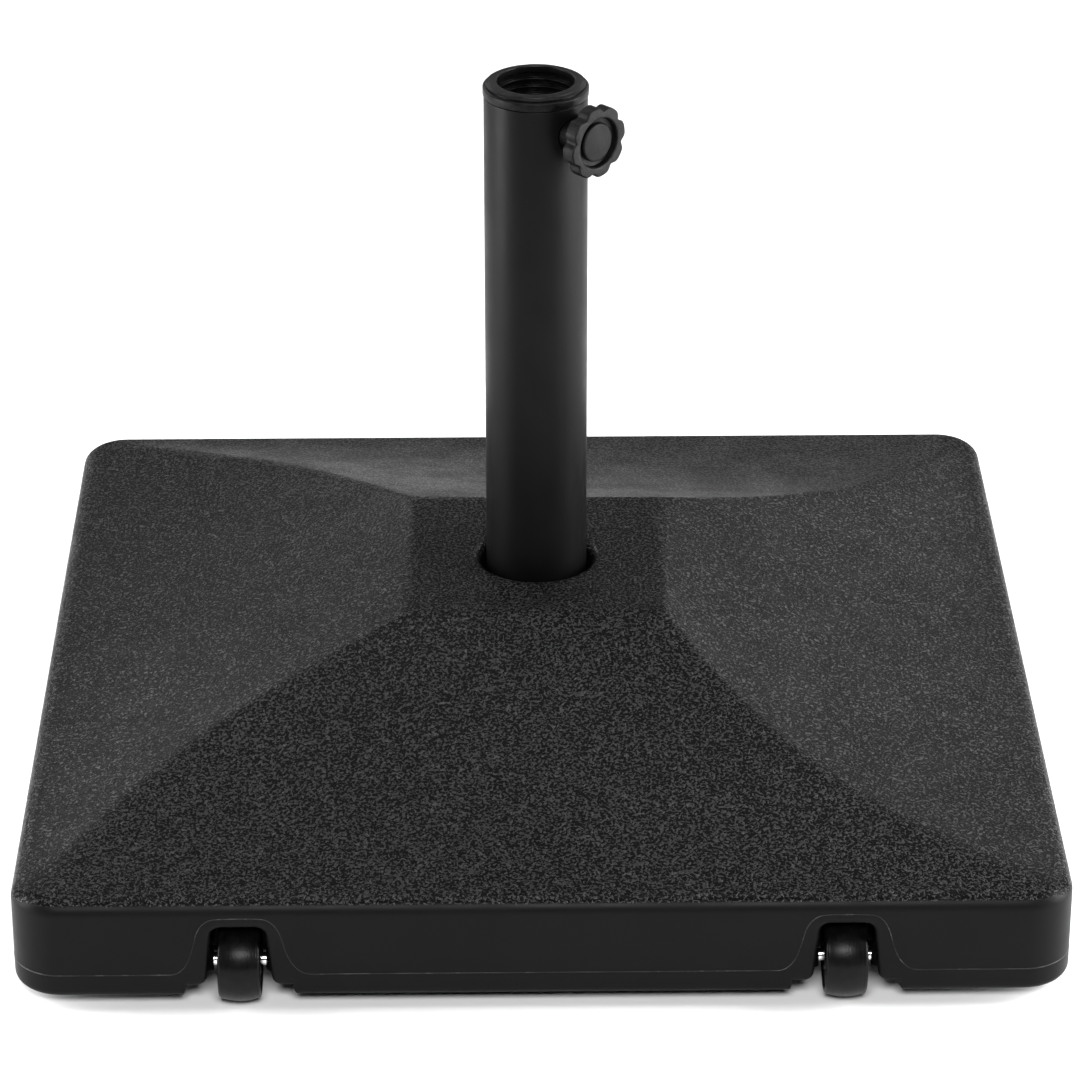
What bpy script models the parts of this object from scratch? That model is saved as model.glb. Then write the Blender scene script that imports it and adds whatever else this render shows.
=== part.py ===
"""Square rolling parasol base: ballast-filled plastic shell, steel tube, clamp knob, two rollers.

Metres, +Z up. Origin: on the floor, at the middle of the whole object's footprint.
-Y is the roller side (front), +X is to the right when looking along +Y.
"""
import bpy
import math
from mathutils import Vector, Matrix

# ------------------------------------------------------------------ driving dimensions
MM = 0.001
GAP = 0.3 * MM                  # clearance kept between pieces that touch

SIDE = 500.0 * MM               # the square shell
HALF = SIDE / 2
FOOT_H = 8.0 * MM               # rubber feet, rim height above the floor
RIM_Z = FOOT_H
EDGE_H = 51.6 * MM              # top edge above the rim, where its fillet starts
PLATEAU_H = 104.5 * MM          # flat round the tube, above the rim
PLATEAU_S = 63.5 * MM           # half-width of that flat
FILLET = 8.0 * MM               # top edge fillet
RIM_FILLET = 4.0 * MM           # bottom edge fillet
CORNER_R = 23.4 * MM            # plan radius of the shell's corners
WALL = 3.5 * MM                 # moulded wall
SWIRL_MAX = 0.116               # most the contour squares turn, clockwise from above (radians)

SOCKET_R = 28.5 * MM            # round socket for the tube
LIP_R = 5.0 * MM                # its rolled lip
SOCKET_FLOOR = 35.0 * MM        # above the floor
RECESS_R = 22.0 * MM            # recess for the anchor bolt, from below
RECESS_TOP = 27.0 * MM
ANCHOR_HOLE_R = 6.5 * MM

WHEEL_R = 20.0 * MM
WHEEL_W = 20.0 * MM
WHEEL_X = 142.6 * MM            # rollers, to each side
WHEEL_BACK = 12.8 * MM          # wheel centre behind the front face
WHEEL_UP = 13.2 * MM            # wheel centre above the rim
AXLE_R = 3.0 * MM
AXLE_HALF = 22.0 * MM
WHEEL_BORE_R = AXLE_R + GAP
WELL_TOP = 37.5 * MM            # well arch above the rim
WELL_DEEP = 36.0 * MM           # well depth behind the front face
WELL_HALF_TOP = 12.7 * MM
WELL_HALF_AXLE = 14.2 * MM
WELL_HALF_BOTTOM = 16.2 * MM
NOTCH_HALF = 26.0 * MM          # step-up of the rim round each well
NOTCH_UP = 6.1 * MM
NOTCH_DEEP = 50.0 * MM

TUBE_R = 25.4 * MM              # 2 inch tube
TUBE_WALL = 1.5 * MM
TUBE_TOP = 363.0 * MM           # above the floor
PLATE_R = 27.6 * MM
PLATE_T = 4.0 * MM
SEAT_IN = 12.5 * MM             # raised ring on the plate
SEAT_OUT = 23.4 * MM
SEAT_UP = 1.7 * MM
BUSH_BORE_R = 19.0 * MM         # for 38 mm poles
BUSH_TOP = 370.0 * MM
BUSH_BOTTOM = 305.0 * MM

KNOB_AZ = math.radians(43.8)    # clamp screw direction, from -Y towards +X
KNOB_Z = 349.8 * MM
KNOB_R = 18.0 * MM
KNOB_NOTCH = 2.1 * MM
KNOB_LOBES = 8
KNOB_PHASE = -0.22
KNOB_FACE = 43.5 * MM           # distances along the screw axis from the tube's axis
KNOB_BACK = 36.3 * MM
KNOB_HUB = 34.8 * MM
SCREW_R = 4.0 * MM              # M8
NUT_OUT = 30.0 * MM

FOOT_R = 16.0 * MM
FOOT_AT = 190.0 * MM
FILLER_AT = (-95.0 * MM, 120.0 * MM)
FILLER_R = 20.0 * MM

# the rollers stand proud of the front face, so the shell sits back by half of that
PROUD = WHEEL_R - WHEEL_BACK
BASE_Y = PROUD / 2
PLATEAU_Z = RIM_Z + PLATEAU_H
EDGE_Z = RIM_Z + EDGE_H
WHEEL_Y = BASE_Y - HALF + WHEEL_BACK
WHEEL_Z = RIM_Z + WHEEL_UP
FRONT_Y = BASE_Y - HALF

STRAIGHT_N = 4                  # segments along a contour square's straight side
ARC_N = 4                       # segments round its corner
RING_N = 4 * (STRAIGHT_N + ARC_N)

# ------------------------------------------------------------------ scene clean-up
for old in list(bpy.data.objects):
    bpy.data.objects.remove(old, do_unlink=True)


# ------------------------------------------------------------------ helpers
def material(name, colour, rough, metal=0.0):
    mat = bpy.data.materials.new(name)
    mat.use_nodes = True
    shader = mat.node_tree.nodes["Principled BSDF"]
    shader.inputs["Base Color"].default_value = (*colour, 1.0)
    shader.inputs["Roughness"].default_value = rough
    shader.inputs["Metallic"].default_value = metal
    return mat


def signed_volume(verts, faces):
    total = 0.0
    for face in faces:
        a = Vector(verts[face[0]])
        for i in range(1, len(face) - 1):
            total += a.dot(Vector(verts[face[i]]).cross(Vector(verts[face[i + 1]])))
    return total / 6.0


def make(name, verts, faces, mat=None, origin=(0.0, 0.0, 0.0), cutter=False):
    """A closed mesh object whose points are given in the world and whose origin is at 'origin'."""
    if signed_volume(verts, faces) < 0:
        faces = [tuple(reversed(f)) for f in faces]
    o = Vector(origin)
    mesh = bpy.data.meshes.new(name)
    mesh.from_pydata([tuple(Vector(v) - o) for v in verts], [], faces)
    mesh.validate()
    mesh.update()
    if not cutter:
        mesh.shade_smooth()
        mesh.set_sharp_from_angle(angle=math.radians(32))
    ob = bpy.data.objects.new(name, mesh)
    ob.location = o
    bpy.context.scene.collection.objects.link(ob)
    if mat:
        mesh.materials.append(mat)
    if cutter:
        ob.hide_render = True
        ob.display_type = 'WIRE'
    return ob


def skin(rings, closed, split=False):
    """Quads between rings of equal length; closed joins the last ring to the first, else both ends are capped.
    split cuts each quad along the same diagonal, so that two warped skins a gap apart stay parallel."""
    n = len(rings[0])
    verts = [p for ring in rings for p in ring]
    faces = []
    last = len(rings) if closed else len(rings) - 1
    for i in range(last):
        a, b = i * n, ((i + 1) % len(rings)) * n
        for j in range(n):
            k = (j + 1) % n
            if split:
                faces += [(a + j, a + k, b + k), (a + j, b + k, b + j)]
            else:
                faces.append((a + j, a + k, b + k, b + j))
    if not closed:
        faces.append(tuple(reversed(range(n))))
        faces.append(tuple(range((len(rings) - 1) * n, len(rings) * n)))
    return verts, faces


def turned(name, profile, frame, n, mat=None, closed=True, origin=None, cutter=False, shift=0.0):
    """Turn (radius, height) points about the local Z of 'frame'."""
    rings = []
    for r, h in profile:
        rings.append([tuple(frame @ Vector((r * math.cos(2 * math.pi * (j + shift) / n),
                                            r * math.sin(2 * math.pi * (j + shift) / n), h)))
                      for j in range(n)])
    verts, faces = skin(rings, closed)
    return make(name, verts, faces, mat, origin if origin is not None else tuple(frame.translation), cutter)


def prism(name, outline, y0, y1, cutter=True):
    """An outline in XZ, extruded along Y."""
    rings = [[(x, y, z) for x, z in outline] for y in (y0, y1)]
    verts, faces = skin(rings, False)
    return make(name, verts, faces, cutter=cutter)


def block(name, lo, hi):
    outline = [(lo[0], lo[2]), (hi[0], lo[2]), (hi[0], hi[2]), (lo[0], hi[2])]
    return prism(name, outline, lo[1], hi[1])


def cut(target, *cutters):
    for c in cutters:
        mod = target.modifiers.new("cut_" + c.name, 'BOOLEAN')
        mod.operation = 'DIFFERENCE'
        mod.solver = 'EXACT'
        mod.object = c


def at(x, y, z):
    return Matrix.Translation((x, y, z))


# ------------------------------------------------------------------ the shell's shape
def square_ring(s, r, turn, z):
    """A rounded square of half-width s and corner radius r, turned clockwise from above."""
    h = s - r
    pts = []
    ca, sa = math.cos(-turn), math.sin(-turn)
    for q in range(4):
        quarter = []
        for i in range(STRAIGHT_N // 2):
            quarter.append((s, h * i / (STRAIGHT_N // 2)))
        for i in range(ARC_N + 1):
            a = math.pi / 2 * i / ARC_N
            quarter.append((h + r * math.cos(a), h + r * math.sin(a)))
        for i in range(1, STRAIGHT_N // 2):
            quarter.append((h * (1 - i / (STRAIGHT_N // 2)), s))
        for x, y in quarter:
            for _ in range(q):
                x, y = -y, x
            pts.append((x * ca - y * sa, x * sa + y * ca + BASE_Y, z))
    return pts


def round_ring(r, z):
    return [(r * math.cos(2 * math.pi * j / RING_N), r * math.sin(2 * math.pi * j / RING_N) + BASE_Y, z)
            for j in range(RING_N)]


def swirl(t):
    """Turn of the contour square, t from 0 at the plateau to 1 at the top edge."""
    t = min(max(t, 0.0), 1.0)
    peak = (0.8 / 2.15) ** 0.8 * (1.35 / 2.15) ** 1.35
    return SWIRL_MAX * t ** 0.8 * (1 - t) ** 1.35 / peak


def roof(t):
    """Height of the contour square, 1 at the plateau and 0 at the top edge."""
    u = max(1.0 - t, 0.0)
    return 0.7 * u ** 1.55 + 0.3 * u ** 0.9


def corner(t):
    return (3.0 + 10.0 * t * t) * MM


def top_rings(depth, outer_s, inner_s, steps):
    """Contour squares of the roof from the plateau's edge outwards, moved down by depth."""
    rings = []
    for i in range(steps + 1):
        t = i / steps
        s = inner_s + (outer_s - inner_s) * t
        z = EDGE_Z + (PLATEAU_Z - EDGE_Z) * roof(t) - depth
        rings.append(square_ring(s, corner(t), swirl(t), z))
    return rings


def shell_outside():
    rings = [round_ring(ANCHOR_HOLE_R, SOCKET_FLOOR),
             round_ring(SOCKET_R, SOCKET_FLOOR),
             round_ring(SOCKET_R, PLATEAU_Z - LIP_R)]
    for i in range(1, 4):
        a = math.pi / 2 * i / 3
        rings.append(round_ring(SOCKET_R + LIP_R * (1 - math.cos(a)), PLATEAU_Z - LIP_R * (1 - math.sin(a))))
    rings.append(square_ring(PLATEAU_S - 4 * MM, 2 * MM, 0.0, PLATEAU_Z))
    edge_s = HALF - FILLET
    rings += top_rings(0.0, edge_s, PLATEAU_S, 11)
    for i in range(1, 5):
        a = math.pi / 2 * i / 4
        rings.append(square_ring(edge_s + FILLET * math.sin(a), CORNER_R - FILLET * (1 - math.sin(a)),
                                 0.0, EDGE_Z - FILLET * (1 - math.cos(a))))
    for i in range(0, 4):
        a = math.pi / 2 * i / 3
        rings.append(square_ring(HALF - RIM_FILLET * (1 - math.cos(a)),
                                 CORNER_R - RIM_FILLET * (1 - math.cos(a)),
                                 0.0, RIM_Z + RIM_FILLET * (1 - math.sin(a))))
    rings.append(round_ring(RECESS_R, RIM_Z))
    rings.append(round_ring(RECESS_R, RECESS_TOP))
    rings.append(round_ring(ANCHOR_HOLE_R, RECESS_TOP))
    return skin(rings, True, split=True)


def shell_inside(g):
    """The hollow, made smaller all round by g."""
    wall = WALL + g
    column = SOCKET_R + WALL + g
    rings = [round_ring(column, RIM_Z + wall),
             round_ring(column, PLATEAU_Z - LIP_R - wall - 4 * MM),
             round_ring(column + 5 * MM, PLATEAU_Z - wall - 0.6 * MM)]
    rings += top_rings(wall + 0.6 * MM, HALF - FILLET - 1 * MM - g, PLATEAU_S - 2.5 * MM - g, 8)
    rings.append(square_ring(HALF - wall, CORNER_R - wall, 0.0, EDGE_Z - FILLET - 2 * MM - g))
    rings.append(square_ring(HALF - wall, CORNER_R - wall, 0.0, RIM_Z + RIM_FILLET + 2 * MM + g))
    rings.append(square_ring(HALF - wall - 3 * MM, CORNER_R - wall - 3 * MM, 0.0, RIM_Z + wall))
    return skin(rings, True, split=True)


def well_outline(x0):
    """Well opening in XZ: a round-shouldered arch that widens downwards and rolls out at the bottom."""
    r = 4.5 * MM
    top = RIM_Z + WELL_TOP
    half = [(WELL_HALF_BOTTOM + 4.0 * MM, RIM_Z - 6 * MM),
            (WELL_HALF_BOTTOM + 4.0 * MM, RIM_Z + NOTCH_UP - 0.6 * MM),
            (WELL_HALF_BOTTOM, RIM_Z + NOTCH_UP + 1.3 * MM),
            (WELL_HALF_AXLE + 0.9 * MM, RIM_Z + NOTCH_UP + 5.5 * MM),
            (WELL_HALF_AXLE, WHEEL_Z + 4 * MM)]
    for i in range(4):
        a = math.pi / 2 * i / 3
        half.append((WELL_HALF_TOP - r * (1 - math.cos(a)), top - r * (1 - math.sin(a))))
    right = [(x0 + x, z) for x, z in half]
    left = [(x0 - x, z) for x, z in reversed(half)]
    return right + left


def notch_outline(x0):
    r = 5.0 * MM
    half = [(NOTCH_HALF + r + 1 * MM, RIM_Z - 6 * MM), (NOTCH_HALF + r + 1 * MM, RIM_Z - 0.01 * MM)]
    for i in range(0, 4):
        a = math.pi / 2 * i / 3
        half.append((NOTCH_HALF + r * (1 - math.sin(a)), RIM_Z + r * (1 - math.cos(a))))
    half.append((NOTCH_HALF - 0.4 * MM, RIM_Z + NOTCH_UP))
    right = [(x0 + x, z) for x, z in half]
    left = [(x0 - x, z) for x, z in reversed(half)]
    return right + left


def axle_slot(name, x0):
    """Snap slot for the axle, open downwards, with a neck narrower than the axle."""
    r = AXLE_R + GAP
    neck = 2.6 * MM
    a0 = math.asin(neck / r)
    outline = [(-neck, -30 * MM), (neck, -30 * MM)]
    steps = 12
    for i in range(steps + 1):
        a = -math.pi / 2 + a0 + (2 * math.pi - 2 * a0) * i / steps
        outline.append((r * math.cos(a), r * math.sin(a)))
    rings = [[(x, WHEEL_Y + y, WHEEL_Z + z) for y, z in outline]
             for x in (x0 - AXLE_HALF - GAP, x0 + AXLE_HALF + GAP)]
    verts, faces = skin(rings, False)
    return make(name, verts, faces, cutter=True)


# ------------------------------------------------------------------ materials
hdpe = material("shell_plastic", (0.030, 0.030, 0.032), 0.55)
grout = material("concrete", (0.36, 0.35, 0.33), 0.90)
plug_mat = material("plug_plastic", (0.028, 0.028, 0.030), 0.50)
powder = material("powder_coat", (0.022, 0.022, 0.024), 0.42)
zinc = material("zinc_steel", (0.62, 0.63, 0.64), 0.32, 1.0)
bright = material("bright_steel", (0.78, 0.79, 0.80), 0.16, 1.0)
bush_mat = material("bush_plastic", (0.026, 0.026, 0.028), 0.45)
knob_mat = material("knob_plastic", (0.028, 0.028, 0.030), 0.48)
wheel_mat = material("roller_plastic", (0.024, 0.024, 0.026), 0.50)
rubber = material("foot_rubber", (0.018, 0.018, 0.018), 0.80)

# ------------------------------------------------------------------ shell, ballast and plug
SIDES = (("left", -WHEEL_X), ("right", WHEEL_X))
FEET = (("front_left", -FOOT_AT, -FOOT_AT), ("front_right", FOOT_AT, -FOOT_AT),
        ("rear_left", -FOOT_AT, FOOT_AT), ("rear_right", FOOT_AT, FOOT_AT))


def keepouts(tag, g):
    """Solid plastic left round the wells, rim notches and foot sockets."""
    out = []
    for side, x0 in SIDES:
        half = NOTCH_HALF + WALL + g
        out.append(block(tag + "_housing_" + side,
                         (x0 - half, FRONT_Y - 5 * MM, RIM_Z - 5 * MM),
                         (x0 + half, FRONT_Y + WELL_DEEP + WALL + g, RIM_Z + WELL_TOP + WALL + g)))
        out.append(block(tag + "_notchroof_" + side,
                         (x0 - half - 0.5 * MM, FRONT_Y - 4 * MM, RIM_Z - 4 * MM),
                         (x0 + half + 0.5 * MM, FRONT_Y + NOTCH_DEEP + WALL + g, RIM_Z + NOTCH_UP + WALL + g)))
    for name, x, y in FEET:
        out.append(turned(tag + "_boss_" + name, [(8 * MM + g, -5 * MM), (8 * MM + g, 10.2 * MM + g)],
                          at(x, BASE_Y + y, RIM_Z), 16, closed=False, cutter=True))
    return out


verts, faces = shell_inside(0.0)
hollow = make("cut_hollow", verts, faces, cutter=True)
cut(hollow, *keepouts("keep", 0.0))

verts, faces = shell_outside()
base_shell = make("base_shell", verts, faces, hdpe)
cut(base_shell, hollow)

verts, faces = shell_inside(GAP)
core = make("concrete_core", verts, faces, grout)
cut(core, *keepouts("core", GAP))

for side, x0 in SIDES:
    cut(base_shell,
        prism("cut_well_" + side, well_outline(x0), FRONT_Y - 10 * MM, FRONT_Y + WELL_DEEP),
        prism("cut_notch_" + side, notch_outline(x0), FRONT_Y - 9 * MM, FRONT_Y + NOTCH_DEEP),
        axle_slot("cut_axle_" + side, x0))

filler_frame = at(FILLER_AT[0], BASE_Y + FILLER_AT[1], RIM_Z)
cut(base_shell,
    turned("cut_filler", [(FILLER_R + 4 * MM, -5 * MM), (FILLER_R + 4 * MM, 1.5 * MM),
                          (FILLER_R, 1.5 * MM), (FILLER_R, WALL + 3 * MM)],
           filler_frame, 28, closed=False, cutter=True))
turned("filler_plug", [(FILLER_R + 3.7 * MM, 0.0), (FILLER_R + 3.7 * MM, 1.2 * MM),
                       (FILLER_R - GAP, 1.2 * MM), (FILLER_R - GAP, WALL - 0.1 * MM)],
       filler_frame, 28, plug_mat, closed=False)

for name, x, y in FEET:
    frame = at(x, BASE_Y + y, 0.0)
    cut(base_shell, turned("cut_stem_" + name, [(4.3 * MM, RIM_Z - 5 * MM), (4.3 * MM, RIM_Z + 6.6 * MM)],
                           frame, 14, closed=False, cutter=True))
    turned("foot_" + name,
           [(FOOT_R - 1.5 * MM, 0.0), (FOOT_R, 1.5 * MM), (FOOT_R - 1.5 * MM, FOOT_H - GAP),
            (4.0 * MM, FOOT_H - GAP), (4.0 * MM, FOOT_H + 5.7 * MM), (3.2 * MM, FOOT_H + 6.3 * MM)],
           frame, 20, rubber, closed=False)

# ------------------------------------------------------------------ tube, foot plate and anchor
AXIS = at(0.0, BASE_Y, 0.0)
PLATE_Z = SOCKET_FLOOR + GAP
TUBE_Z = PLATE_Z + PLATE_T + GAP

# the raised ring centres the tube for welding, clears the anchor nut, and is the seat for the pole
turned("tube_foot_plate", [(ANCHOR_HOLE_R, PLATE_Z), (PLATE_R, PLATE_Z), (PLATE_R, PLATE_Z + PLATE_T),
                           (SEAT_OUT, PLATE_Z + PLATE_T), (SEAT_OUT, PLATE_Z + PLATE_T + SEAT_UP),
                           (SEAT_IN, PLATE_Z + PLATE_T + SEAT_UP), (SEAT_IN, PLATE_Z + PLATE_T),
                           (ANCHOR_HOLE_R, PLATE_Z + PLATE_T)], AXIS, 32, zinc)

tube = turned("pole_tube", [(TUBE_R, TUBE_Z), (TUBE_R, TUBE_TOP - 0.4 * MM), (TUBE_R - 0.4 * MM, TUBE_TOP),
                            (TUBE_R - TUBE_WALL, TUBE_TOP), (TUBE_R - TUBE_WALL, TUBE_Z)], AXIS, 40, powder)

anchor_z = RECESS_TOP - GAP
turned("anchor_washer", [(6.6 * MM, anchor_z - 2.5 * MM), (18 * MM, anchor_z - 2.5 * MM), (18 * MM, anchor_z),
                         (6.6 * MM, anchor_z)], AXIS, 24, zinc)
anchor_z -= 2.5 * MM + GAP


def lock_washer(name, z1, z2, r0, r1, mat):
    """A split spring washer: a ring with one slanted cut."""
    n, cut_half = 22, math.radians(7)
    rings = []
    for i in range(n + 1):
        a = cut_half + (2 * math.pi - 2 * cut_half) * i / n
        section = []
        for r, z in ((r0, z1), (r1, z1), (r1, z2), (r0, z2)):
            slant = math.radians(4) * (1 if z == z2 else -1)
            if i not in (0, n):
                slant = 0.0
            section.append((r * math.cos(a + slant), r * math.sin(a + slant) + BASE_Y, z))
        rings.append(section)
    verts, faces = skin(rings, False)
    return make(name, verts, faces, mat, (0.0, BASE_Y, z1))


lock_washer("anchor_lock_washer", anchor_z - 2.8 * MM, anchor_z, 6.6 * MM, 10.5 * MM, zinc)
anchor_z -= 2.8 * MM + GAP
HEAD_T = 7.5 * MM
HEX_R = 19.0 * MM / math.sqrt(3)
NUT_Z = PLATE_Z + PLATE_T + GAP
NUT_T = 10.0 * MM


def bolt_mesh(name, hex_r, z0, z1, shank_r, z2, frame, mat, chamfer, tip=None, n=18, flip=1.0, origin=None):
    """Hex head from z0 to z1 and a shank on to z2, with a chamfered head, as one closed skin."""
    def circle(r, h):
        return [tuple(frame @ Vector((r * math.cos(2 * math.pi * j / n), r * math.sin(2 * math.pi * j / n), h)))
                for j in range(n)]

    def hexagon(r, h):
        pts = []
        for j in range(n):
            a = 2 * math.pi * j / n
            k = a % (math.pi / 3) - math.pi / 6
            rr = r * math.cos(math.pi / 6) / math.cos(k)
            pts.append(tuple(frame @ Vector((rr * math.cos(a), rr * math.sin(a), h))))
        return pts

    d = 1.0 if z1 > z0 else -1.0
    rings = [circle(hex_r * 0.84, z0), hexagon(hex_r, z0 + d * chamfer), hexagon(hex_r, z1),
             circle(shank_r, z1)]
    if tip:
        tip_r, tip_z = tip
        rings += [circle(shank_r, tip_z), circle(tip_r, tip_z), circle(tip_r, z2)]
    else:
        rings += [circle(shank_r, z2 - d * 1.0 * MM), circle(shank_r - 1.0 * MM, z2)]
    verts, faces = skin(rings, False)
    return make(name, verts, faces, mat, origin if origin is not None else tuple(frame.translation))


bolt_mesh("anchor_bolt", HEX_R, anchor_z - HEAD_T, anchor_z, 5.9 * MM, NUT_Z + NUT_T + 2 * MM, AXIS, zinc, 1 * MM)

turned("anchor_nut", [(6.3 * MM, NUT_Z), (HEX_R, NUT_Z), (HEX_R, NUT_Z + NUT_T), (6.3 * MM, NUT_Z + NUT_T)],
       AXIS, 6, zinc)
# the nut's thread bore is round: open the six-sided ring to a circle
nut = bpy.data.objects["anchor_nut"]
cut(nut, turned("cut_nut_bore", [(6.5 * MM, NUT_Z - 2 * MM), (6.5 * MM, NUT_Z + NUT_T + 2 * MM)],
                AXIS, 18, closed=False, cutter=True))

# ------------------------------------------------------------------ bush in the tube's mouth
BUSH_R = TUBE_R - TUBE_WALL - GAP
bush_profile = [(BUSH_R - 1.0 * MM, BUSH_BOTTOM), (BUSH_R, BUSH_BOTTOM + 1.5 * MM), (BUSH_R, TUBE_TOP + GAP),
                (TUBE_R - 0.2 * MM, TUBE_TOP + GAP), (TUBE_R - 0.2 * MM, BUSH_TOP - 2.2 * MM),
                (TUBE_R - 1.0 * MM, BUSH_TOP - 1.7 * MM), (BUSH_BORE_R + 1.6 * MM, BUSH_TOP - 0.25 * MM),
                (BUSH_BORE_R + 1.3 * MM, BUSH_TOP), (BUSH_BORE_R + 0.4 * MM, BUSH_TOP),
                (BUSH_BORE_R, BUSH_TOP - 0.5 * MM)]
rib_z = BUSH_TOP - 3.6 * MM
for i in range(3):                      # grip ribs in the mouth; the bore between them is a little wider
    bush_profile += [(BUSH_BORE_R, rib_z), (BUSH_BORE_R + 0.9 * MM, rib_z - 0.7 * MM),
                     (BUSH_BORE_R + 0.9 * MM, rib_z - 2.9 * MM), (BUSH_BORE_R, rib_z - 3.4 * MM)]
    rib_z -= 4.2 * MM
bush_profile.append((BUSH_BORE_R, BUSH_BOTTOM))
bush = turned("reducer_bush", bush_profile, AXIS, 28, bush_mat)

# ------------------------------------------------------------------ clamp: nut, screw, knob, cap, pad
outward = Vector((math.sin(KNOB_AZ), -math.cos(KNOB_AZ), 0.0))
across = Vector((math.cos(KNOB_AZ), math.sin(KNOB_AZ), 0.0))
SCREW_FRAME = Matrix(((across.x, 0.0, outward.x, 0.0), (across.y, 0.0, outward.y, BASE_Y),
                      (0.0, 1.0, 0.0, KNOB_Z), (0.0, 0.0, 0.0, 1.0)))
SCREW_ORIGIN = tuple(SCREW_FRAME @ Vector((0.0, 0.0, KNOB_HUB)))

pad_clear = 6.1 * MM
cut(tube, turned("cut_tube_side", [(pad_clear, 15 * MM), (pad_clear, 35 * MM)], SCREW_FRAME, 20,
                 closed=False, cutter=True))
cut(bush, turned("cut_bush_side", [(pad_clear, 12 * MM), (pad_clear, 34 * MM)], SCREW_FRAME, 20,
                 closed=False, cutter=True))

clamp_nut = turned("clamp_nut", [(SCREW_R + GAP, 22 * MM), (9.0 * MM, 22 * MM), (9.0 * MM, NUT_OUT - 0.8 * MM),
                                 (8.2 * MM, NUT_OUT), (SCREW_R + GAP, NUT_OUT)], SCREW_FRAME, 24, powder)
cut(clamp_nut, turned("cut_saddle", [(TUBE_R + GAP, KNOB_Z - 40 * MM), (TUBE_R + GAP, KNOB_Z + 40 * MM)],
                      AXIS, 80, closed=False, cutter=True))

PAD_IN, PAD_OUT = 19.3 * MM, 22.6 * MM
turned("pressure_pad", [(4.9 * MM, PAD_IN), (5.5 * MM, PAD_IN + 0.6 * MM), (5.5 * MM, PAD_OUT),
                        (3.3 * MM, PAD_OUT), (3.3 * MM, PAD_IN + 1.6 * MM)], SCREW_FRAME, 20, bush_mat,
       closed=False, origin=tuple(SCREW_FRAME @ Vector((0.0, 0.0, PAD_OUT))))

SCREW_HEAD = 37.3 * MM
bolt_mesh("clamp_screw", 13.0 * MM / math.sqrt(3), 39.9 * MM, SCREW_HEAD, SCREW_R, PAD_IN + 1.9 * MM,
          SCREW_FRAME, zinc, 0.6 * MM, tip=(3.0 * MM, PAD_OUT + GAP), n=18, origin=SCREW_ORIGIN)


def knob_ring(r_tip, depth, h, n):
    pts = []
    for j in range(n):
        a = 2 * math.pi * j / n
        notch = (0.5 + 0.5 * math.cos(KNOB_LOBES * (a - KNOB_PHASE))) ** 3.1
        r = r_tip - depth * notch
        pts.append(tuple(SCREW_FRAME @ Vector((r * math.cos(a), r * math.sin(a), h))))
    return pts


KNOB_N = KNOB_LOBES * 6
knob_rings = [knob_ring(SCREW_R + GAP, 0.0, KNOB_HUB, KNOB_N),
              knob_ring(8.5 * MM, 0.0, KNOB_HUB, KNOB_N),
              knob_ring(8.5 * MM, 0.0, KNOB_BACK, KNOB_N),
              knob_ring(KNOB_R - 0.8 * MM, KNOB_NOTCH, KNOB_BACK, KNOB_N),
              knob_ring(KNOB_R, KNOB_NOTCH, KNOB_BACK + 0.8 * MM, KNOB_N),
              knob_ring(KNOB_R, KNOB_NOTCH, KNOB_FACE - 0.8 * MM, KNOB_N),
              knob_ring(KNOB_R - 0.8 * MM, KNOB_NOTCH, KNOB_FACE, KNOB_N),
              knob_ring(12.6 * MM, 0.0, KNOB_FACE, KNOB_N),
              knob_ring(12.2 * MM, 0.0, 40.4 * MM, KNOB_N),
              knob_ring(7.9 * MM, 0.0, 40.4 * MM, KNOB_N),
              knob_ring(7.9 * MM, 0.0, 37.0 * MM, KNOB_N),
              knob_ring(SCREW_R + GAP, 0.0, 37.0 * MM, KNOB_N)]
verts, faces = skin(knob_rings, True)
make("clamp_knob", verts, faces, knob_mat, SCREW_ORIGIN)
turned("knob_cap", [(9.7 * MM, 40.7 * MM), (9.7 * MM, 41.9 * MM), (9.1 * MM, 42.6 * MM), (7.0 * MM, 43.0 * MM)],
       SCREW_FRAME, 28, knob_mat, closed=False, origin=SCREW_ORIGIN)

# ------------------------------------------------------------------ rollers and axles
ACROSS = Matrix(((0.0, 0.0, 1.0, 0.0), (1.0, 0.0, 0.0, 0.0), (0.0, 1.0, 0.0, 0.0), (0.0, 0.0, 0.0, 1.0)))
HALF_W = WHEEL_W / 2
for side, x0 in SIDES:
    frame = at(x0, WHEEL_Y, WHEEL_Z) @ ACROSS
    half_profile = [(WHEEL_BORE_R, 0.0), (WHEEL_BORE_R, 10.0), (7.0 * MM, 10.0), (7.6 * MM, 9.0),
                    (15.5 * MM, 9.0), (16.6 * MM, 9.9), (17.8 * MM, 9.6), (19.2 * MM, 8.0), (19.8 * MM, 5.0)]
    profile = [(r, h * MM) for r, h in half_profile[1:]] + [(WHEEL_R, 0.0)]
    profile += [(r, -h * MM) for r, h in reversed(half_profile[1:])]
    turned("wheel_" + side, profile, frame, 26, wheel_mat)
    turned("axle_" + side, [(AXLE_R - 0.5 * MM, -AXLE_HALF), (AXLE_R, -AXLE_HALF + 0.5 * MM),
                            (AXLE_R, AXLE_HALF - 0.5 * MM), (AXLE_R - 0.5 * MM, AXLE_HALF)],
           frame, 16, bright, closed=False)
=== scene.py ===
"""The looks of the rolling parasol base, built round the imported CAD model."""

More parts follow.
